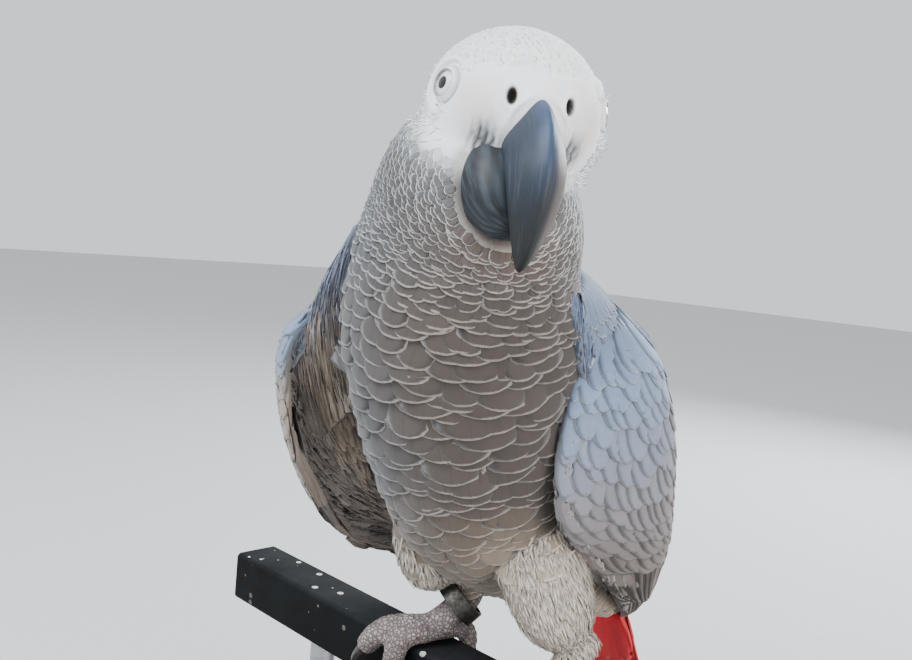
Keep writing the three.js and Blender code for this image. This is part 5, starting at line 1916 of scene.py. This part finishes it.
class PARROT_OT_rail(PieceOperator):
    """Makes the cut length of square tube with its open ends"""
    bl_idname = "parrot.rail"
    bl_label = "Rail"

    def build(self, settings):
        coating, tree, shader = new_material("powder_coated_steel", **{
            "Roughness": 0.72, "IOR": 1.5, "Specular IOR Level": 0.1,
        })
        # black polyester powder coat, baked on: a fine orange peel, dusty on top, with dried pale droplets
        peel = object_noise(tree, 0.8, 2.0)
        dust = object_noise(tree, 12.0, 5.0, 0.65)
        drops = add(tree, "TexVoronoi", {"feature": "F1"}, {"Scale": 1000 / 4.2, "Randomness": 1.0},
                    {"Vector": object_place(tree)})
        sizes = add(tree, "SeparateColor", links={"Color": drops.outputs["Color"]})
        reach = times(tree, sums(tree, "POWER", sizes.outputs[0], 3.0), 0.28)
        fleck = sums(tree, "LESS_THAN", drops.outputs["Distance"], reach)
        facing = add(tree, "NewGeometry").outputs["Normal"]
        upward = add(tree, "SeparateXYZ", links={"Vector": facing}).outputs["Z"]
        top = sums(tree, "MULTIPLY", upward, 1.0, clamp=True)
        base = ramp(tree, dust, [(0.35, "#0A0B0C"), (0.7, "#131517")])
        dust_share = times(tree, top, times(tree, dust, 0.10))
        dusty = blend_colours(tree, dust_share, base, "#7A7F83")
        amount = times(tree, fleck, plus(tree, times(tree, top, 0.75), 0.12))
        colour_on(tree, shader, blend_colours(tree, amount, dusty, "#D6D2C6"))
        height = plus(tree, times(tree, peel, 0.25), times(tree, fleck, 0.6))
        bump_on(tree, shader, height, 0.35, 0.2)
        bm = bmesh.new()
        bmesh.ops.create_cube(bm, size=1)
        bmesh.ops.scale(bm, vec=(RAIL_LENGTH, RAIL_SIDE, RAIL_SIDE), verts=bm.verts)
        bmesh.ops.translate(bm, vec=(0, 0, -RAIL_SIDE / 2), verts=bm.verts)
        lengthways = [e for e in bm.edges if abs(e.verts[0].co.x - e.verts[1].co.x) > 1]
        round_edges(bm, lengthways, RAIL_CORNER, 5)
        ends = [f for f in bm.faces if abs(f.normal.x) > 0.9]
        bmesh.ops.inset_region(bm, faces=ends, thickness=RAIL_WALL, use_even_offset=True)
        for end in [f for f in bm.faces if abs(f.normal.x) > 0.9 and len(f.verts) > 4]:
            side = math.copysign(1, end.calc_center_median().x)
            grown = bmesh.ops.extrude_face_region(bm, geom=[end])
            verts = [g for g in grown["geom"] if isinstance(g, bmesh.types.BMVert)]
            bmesh.ops.translate(bm, vec=(-side * RAIL_BORE, 0, 0), verts=verts)
            bmesh.ops.delete(bm, geom=[end], context="FACES_ONLY")
        made = close_mesh(bm, "rail_tube")
        flat_by_angle(finish_piece("rail_tube", made, coating, ("perch_rail",)))


class PARROT_OT_stand(PieceOperator):
    """Turns the round base and the two rods"""
    bl_idname = "parrot.stand"
    bl_label = "Stand"

    def build(self, settings):
        wood, tree, shader = new_material("ebonised_beech_satin", **{
            "Roughness": 0.42, "IOR": 1.5, "Coat Weight": 0.15, "Coat Roughness": 0.3,
        })
        # beech stained black and sealed with satin lacquer: the close grain and short rays still show
        grain = noise(tree, drawn_out(tree, object_place(tree), (0.07, 1, 1)), 1000 / 1.6, 6.0, 0.6)
        colour_on(tree, shader, ramp(tree, grain, [(0.35, "#1C1917"), (0.65, "#3A332E")]))
        bump_on(tree, shader, grain, 0.25, 0.08)
        steel, tree, shader = new_material("brushed_stainless_steel", **{
            "Metallic": 1.0, "Roughness": 0.34, "Anisotropic": 0.4,
        })
        # stainless rod brushed round and round: fine rings that stretch each glint
        lines = noise(tree, drawn_out(tree, object_place(tree), (0.1, 0.1, 1)), 1000 / 0.4)
        colour_on(tree, shader, ramp(tree, lines, [(0.3, "#8D9195"), (0.7, "#B3B6B9")]))
        bump_on(tree, shader, lines, 0.2, 0.03)
        base_top = BASE_THICK - RAIL_TOP
        turn_round("base_disc", BASE_RADIUS, (-RAIL_TOP, base_top), (0, -RAIL_BACK), 128, (2.0, 4),
                   wood, "stand_base")
        for name, side in (("left", 1), ("right", -1)):
            ends = (base_top + GAP, -RAIL_SIDE - GAP)
            turn_round(f"rod_{name}", ROD_RADIUS, ends, (side * ROD_OUT, 0), 48, (0.5, 3), steel,
                       f"stand_rod_{name}")


def turn_round(name, radius, ends, place, sides, rounding, look, node):
    """An upright disc or rod between two heights, with its rims rounded by (width, segments)."""
    low, high = ends
    bm = bmesh.new()
    bmesh.ops.create_cone(bm, cap_ends=True, cap_tris=False, segments=sides, radius1=radius,
                          radius2=radius, depth=high - low)
    bmesh.ops.translate(bm, vec=(*place, (high + low) / 2), verts=bm.verts)
    round_edges(bm, sharp_edges(bm), *rounding)
    flat_by_angle(finish_piece(name, close_mesh(bm, name), look, (node,)))


OPERATORS = (
    PARROT_OT_stage, PARROT_OT_skin, PARROT_OT_body_feathers, PARROT_OT_head_feathers,
    PARROT_OT_wing_feathers, PARROT_OT_tail_feathers, PARROT_OT_thigh_feathers, PARROT_OT_bill,
    PARROT_OT_eyes, PARROT_OT_claws, PARROT_OT_ring, PARROT_OT_rail, PARROT_OT_stand,
)


class PARROT_PT_panel(bpy.types.Panel):
    """Lists the settings and the pieces in the sidebar"""
    bl_idname = "PARROT_PT_panel"
    bl_label = "Grey parrot"
    bl_space_type = "VIEW_3D"
    bl_region_type = "UI"
    bl_category = "Parrot"

    def draw(self, context):
        settings = context.scene.parrot
        for key in ParrotSettings.__annotations__:
            self.layout.prop(settings, key)
        for operator in OPERATORS:
            self.layout.operator(operator.bl_idname)


CLASSES = (ParrotSettings, *OPERATORS, PARROT_PT_panel)


def register():
    for made in CLASSES:
        bpy.utils.register_class(made)
    bpy.types.Scene.parrot = bpy.props.PointerProperty(type=ParrotSettings)


def unregister():
    del bpy.types.Scene.parrot
    for made in reversed(CLASSES):
        bpy.utils.unregister_class(made)


def main():
    register()
    for operator in OPERATORS:
        group, name = operator.bl_idname.split(".")
        getattr(getattr(bpy.ops, group), name)()


if __name__ == "__main__":
    main()
